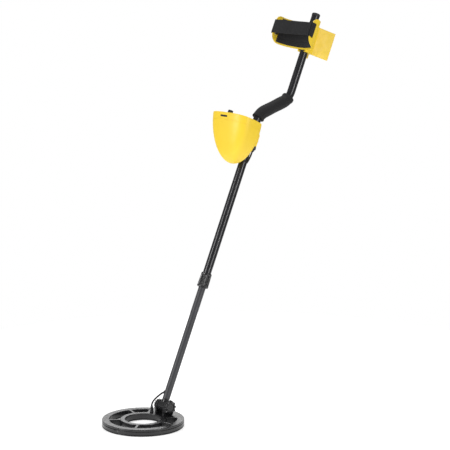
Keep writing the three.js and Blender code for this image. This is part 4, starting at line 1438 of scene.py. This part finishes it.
def strap_stitches(strap_end, low, high):
    """The box of stitches that holds the strap's end to itself."""
    near = strap_end[0] + 0.006
    width = 0.012
    top = strap_end[1] + 0.0009
    along = (0.0003, 0.0011)
    across = (0.0009, 0.0003)
    stitches = []
    for i in range(12):
        z = low + (high - low) * i / 11
        stitches += [(near, z, along), (near + width, z, along)]
    for i in range(5):
        x = near + width * (i + 0.5) / 5
        stitches += [(x, low, across), (x, high, across)]
    points = []
    faces = []
    for x, z, (half_x, half_z) in stitches:
        gather(points, faces, *skin([[
            (x + side_x * half_x * share, top + over, z + side_z * half_z * share)
            for side_x, side_z in ((-1, -1), (1, -1), (1, 1), (-1, 1))
        ] for over, share in STITCH_LEVELS]))
    piece = new_piece("strap_stitches", points, faces, cuff_place())
    dress(soften(piece, crease=60), "shaft", "webbing", LOOKS["black_rubber"])


def arm_cuff():
    cuff_shell()
    cuff_seat()
    cuff_pad()
    arm_strap()
    refined("cuff_stand", 0.0010, 30)
    refined("cuff_bolt", 0.0008)
    refined("cuff_nut", 0.0008)


# ---- studio ----

def add_light(name, azimuth, elevation, distance, size, power):
    """A softbox that faces the middle of the shaft, placed by its angle from the camera's side."""
    data = bpy.data.lights.new(name, "AREA")
    data.shape = "RECTANGLE"
    data.size, data.size_y = size
    data.energy = power
    turn = CAMERA_AZIMUTH + math.radians(azimuth)
    face_middle(add_object(name, data), turn, math.radians(elevation), distance)


FLOOR_RADIUS = 1.1
FLOOR_BELOW = 0.0004
FLOOR_GLOW = 0.5
BACKDROP_LIGHT = 0.32


def add_floor():
    """A pale floor that glows a little, so that it meets the white backdrop without an edge."""
    low, high = cad_box
    rim = circle(FLOOR_RADIUS, 96, -FLOOR_BELOW)
    place = Matrix.Translation((0, (low[1] + high[1]) / 2, 0))
    floor = new_piece("studio_floor", rim, [tuple(range(len(rim)))], place)
    look = new_look("studio_floor", (0.8, 0.8, 0.8), 0.9, emission_color=(1, 1, 1, 1),
                    emission_strength=FLOOR_GLOW)
    floor.data.materials.append(look)


def add_backdrop():
    """A plain white surround that the camera sees, and that lights the object only faintly."""
    world = bpy.data.worlds.new("studio")
    bpy.context.scene.world = world
    world.use_nodes = True
    glow = world.node_tree.nodes["Background"]
    glow.inputs["Color"].default_value = (1, 1, 1, 1)
    rays = add_node(world, "ShaderNodeLightPath")
    strength = add_node(world, "ShaderNodeMapRange")
    strength.inputs["To Min"].default_value = BACKDROP_LIGHT
    strength.inputs["To Max"].default_value = 1.0
    join_nodes(world, rays.outputs["Is Camera Ray"], strength.inputs["Value"])
    join_nodes(world, strength.outputs[0], glow.inputs["Strength"])
    bpy.context.scene.view_settings.view_transform = "Standard"


def add_studio():
    add_light("left_softbox", -60, 14, 3.2, (0.5, 2.4), 66)
    add_light("right_softbox", 42, 14, 3.2, (0.35, 2.4), 47)
    add_light("top_softbox", 170, 60, 3.5, (2.5, 2.5), 55)
    add_light("back_softbox", 180, 16, 4.0, (3.0, 1.0), 24)
    add_floor()
    add_backdrop()


# ---- assembly ----

add_camera()
coil_cable()
pod_cable()
search_coil()
hinge()
lower_stem()
twist_lock()
main_tube()
end_plug()
foam_grip()
pod_hull()
pod_bezel()
pod_bracket()
panel()
arm_cuff()
for node, carried in frame["nodes"].items():
    if not carried.hide_render:
        carried.data.materials.clear()
        carried.data.materials.append(LOOKS[SLOT_OF[node]])
add_studio()
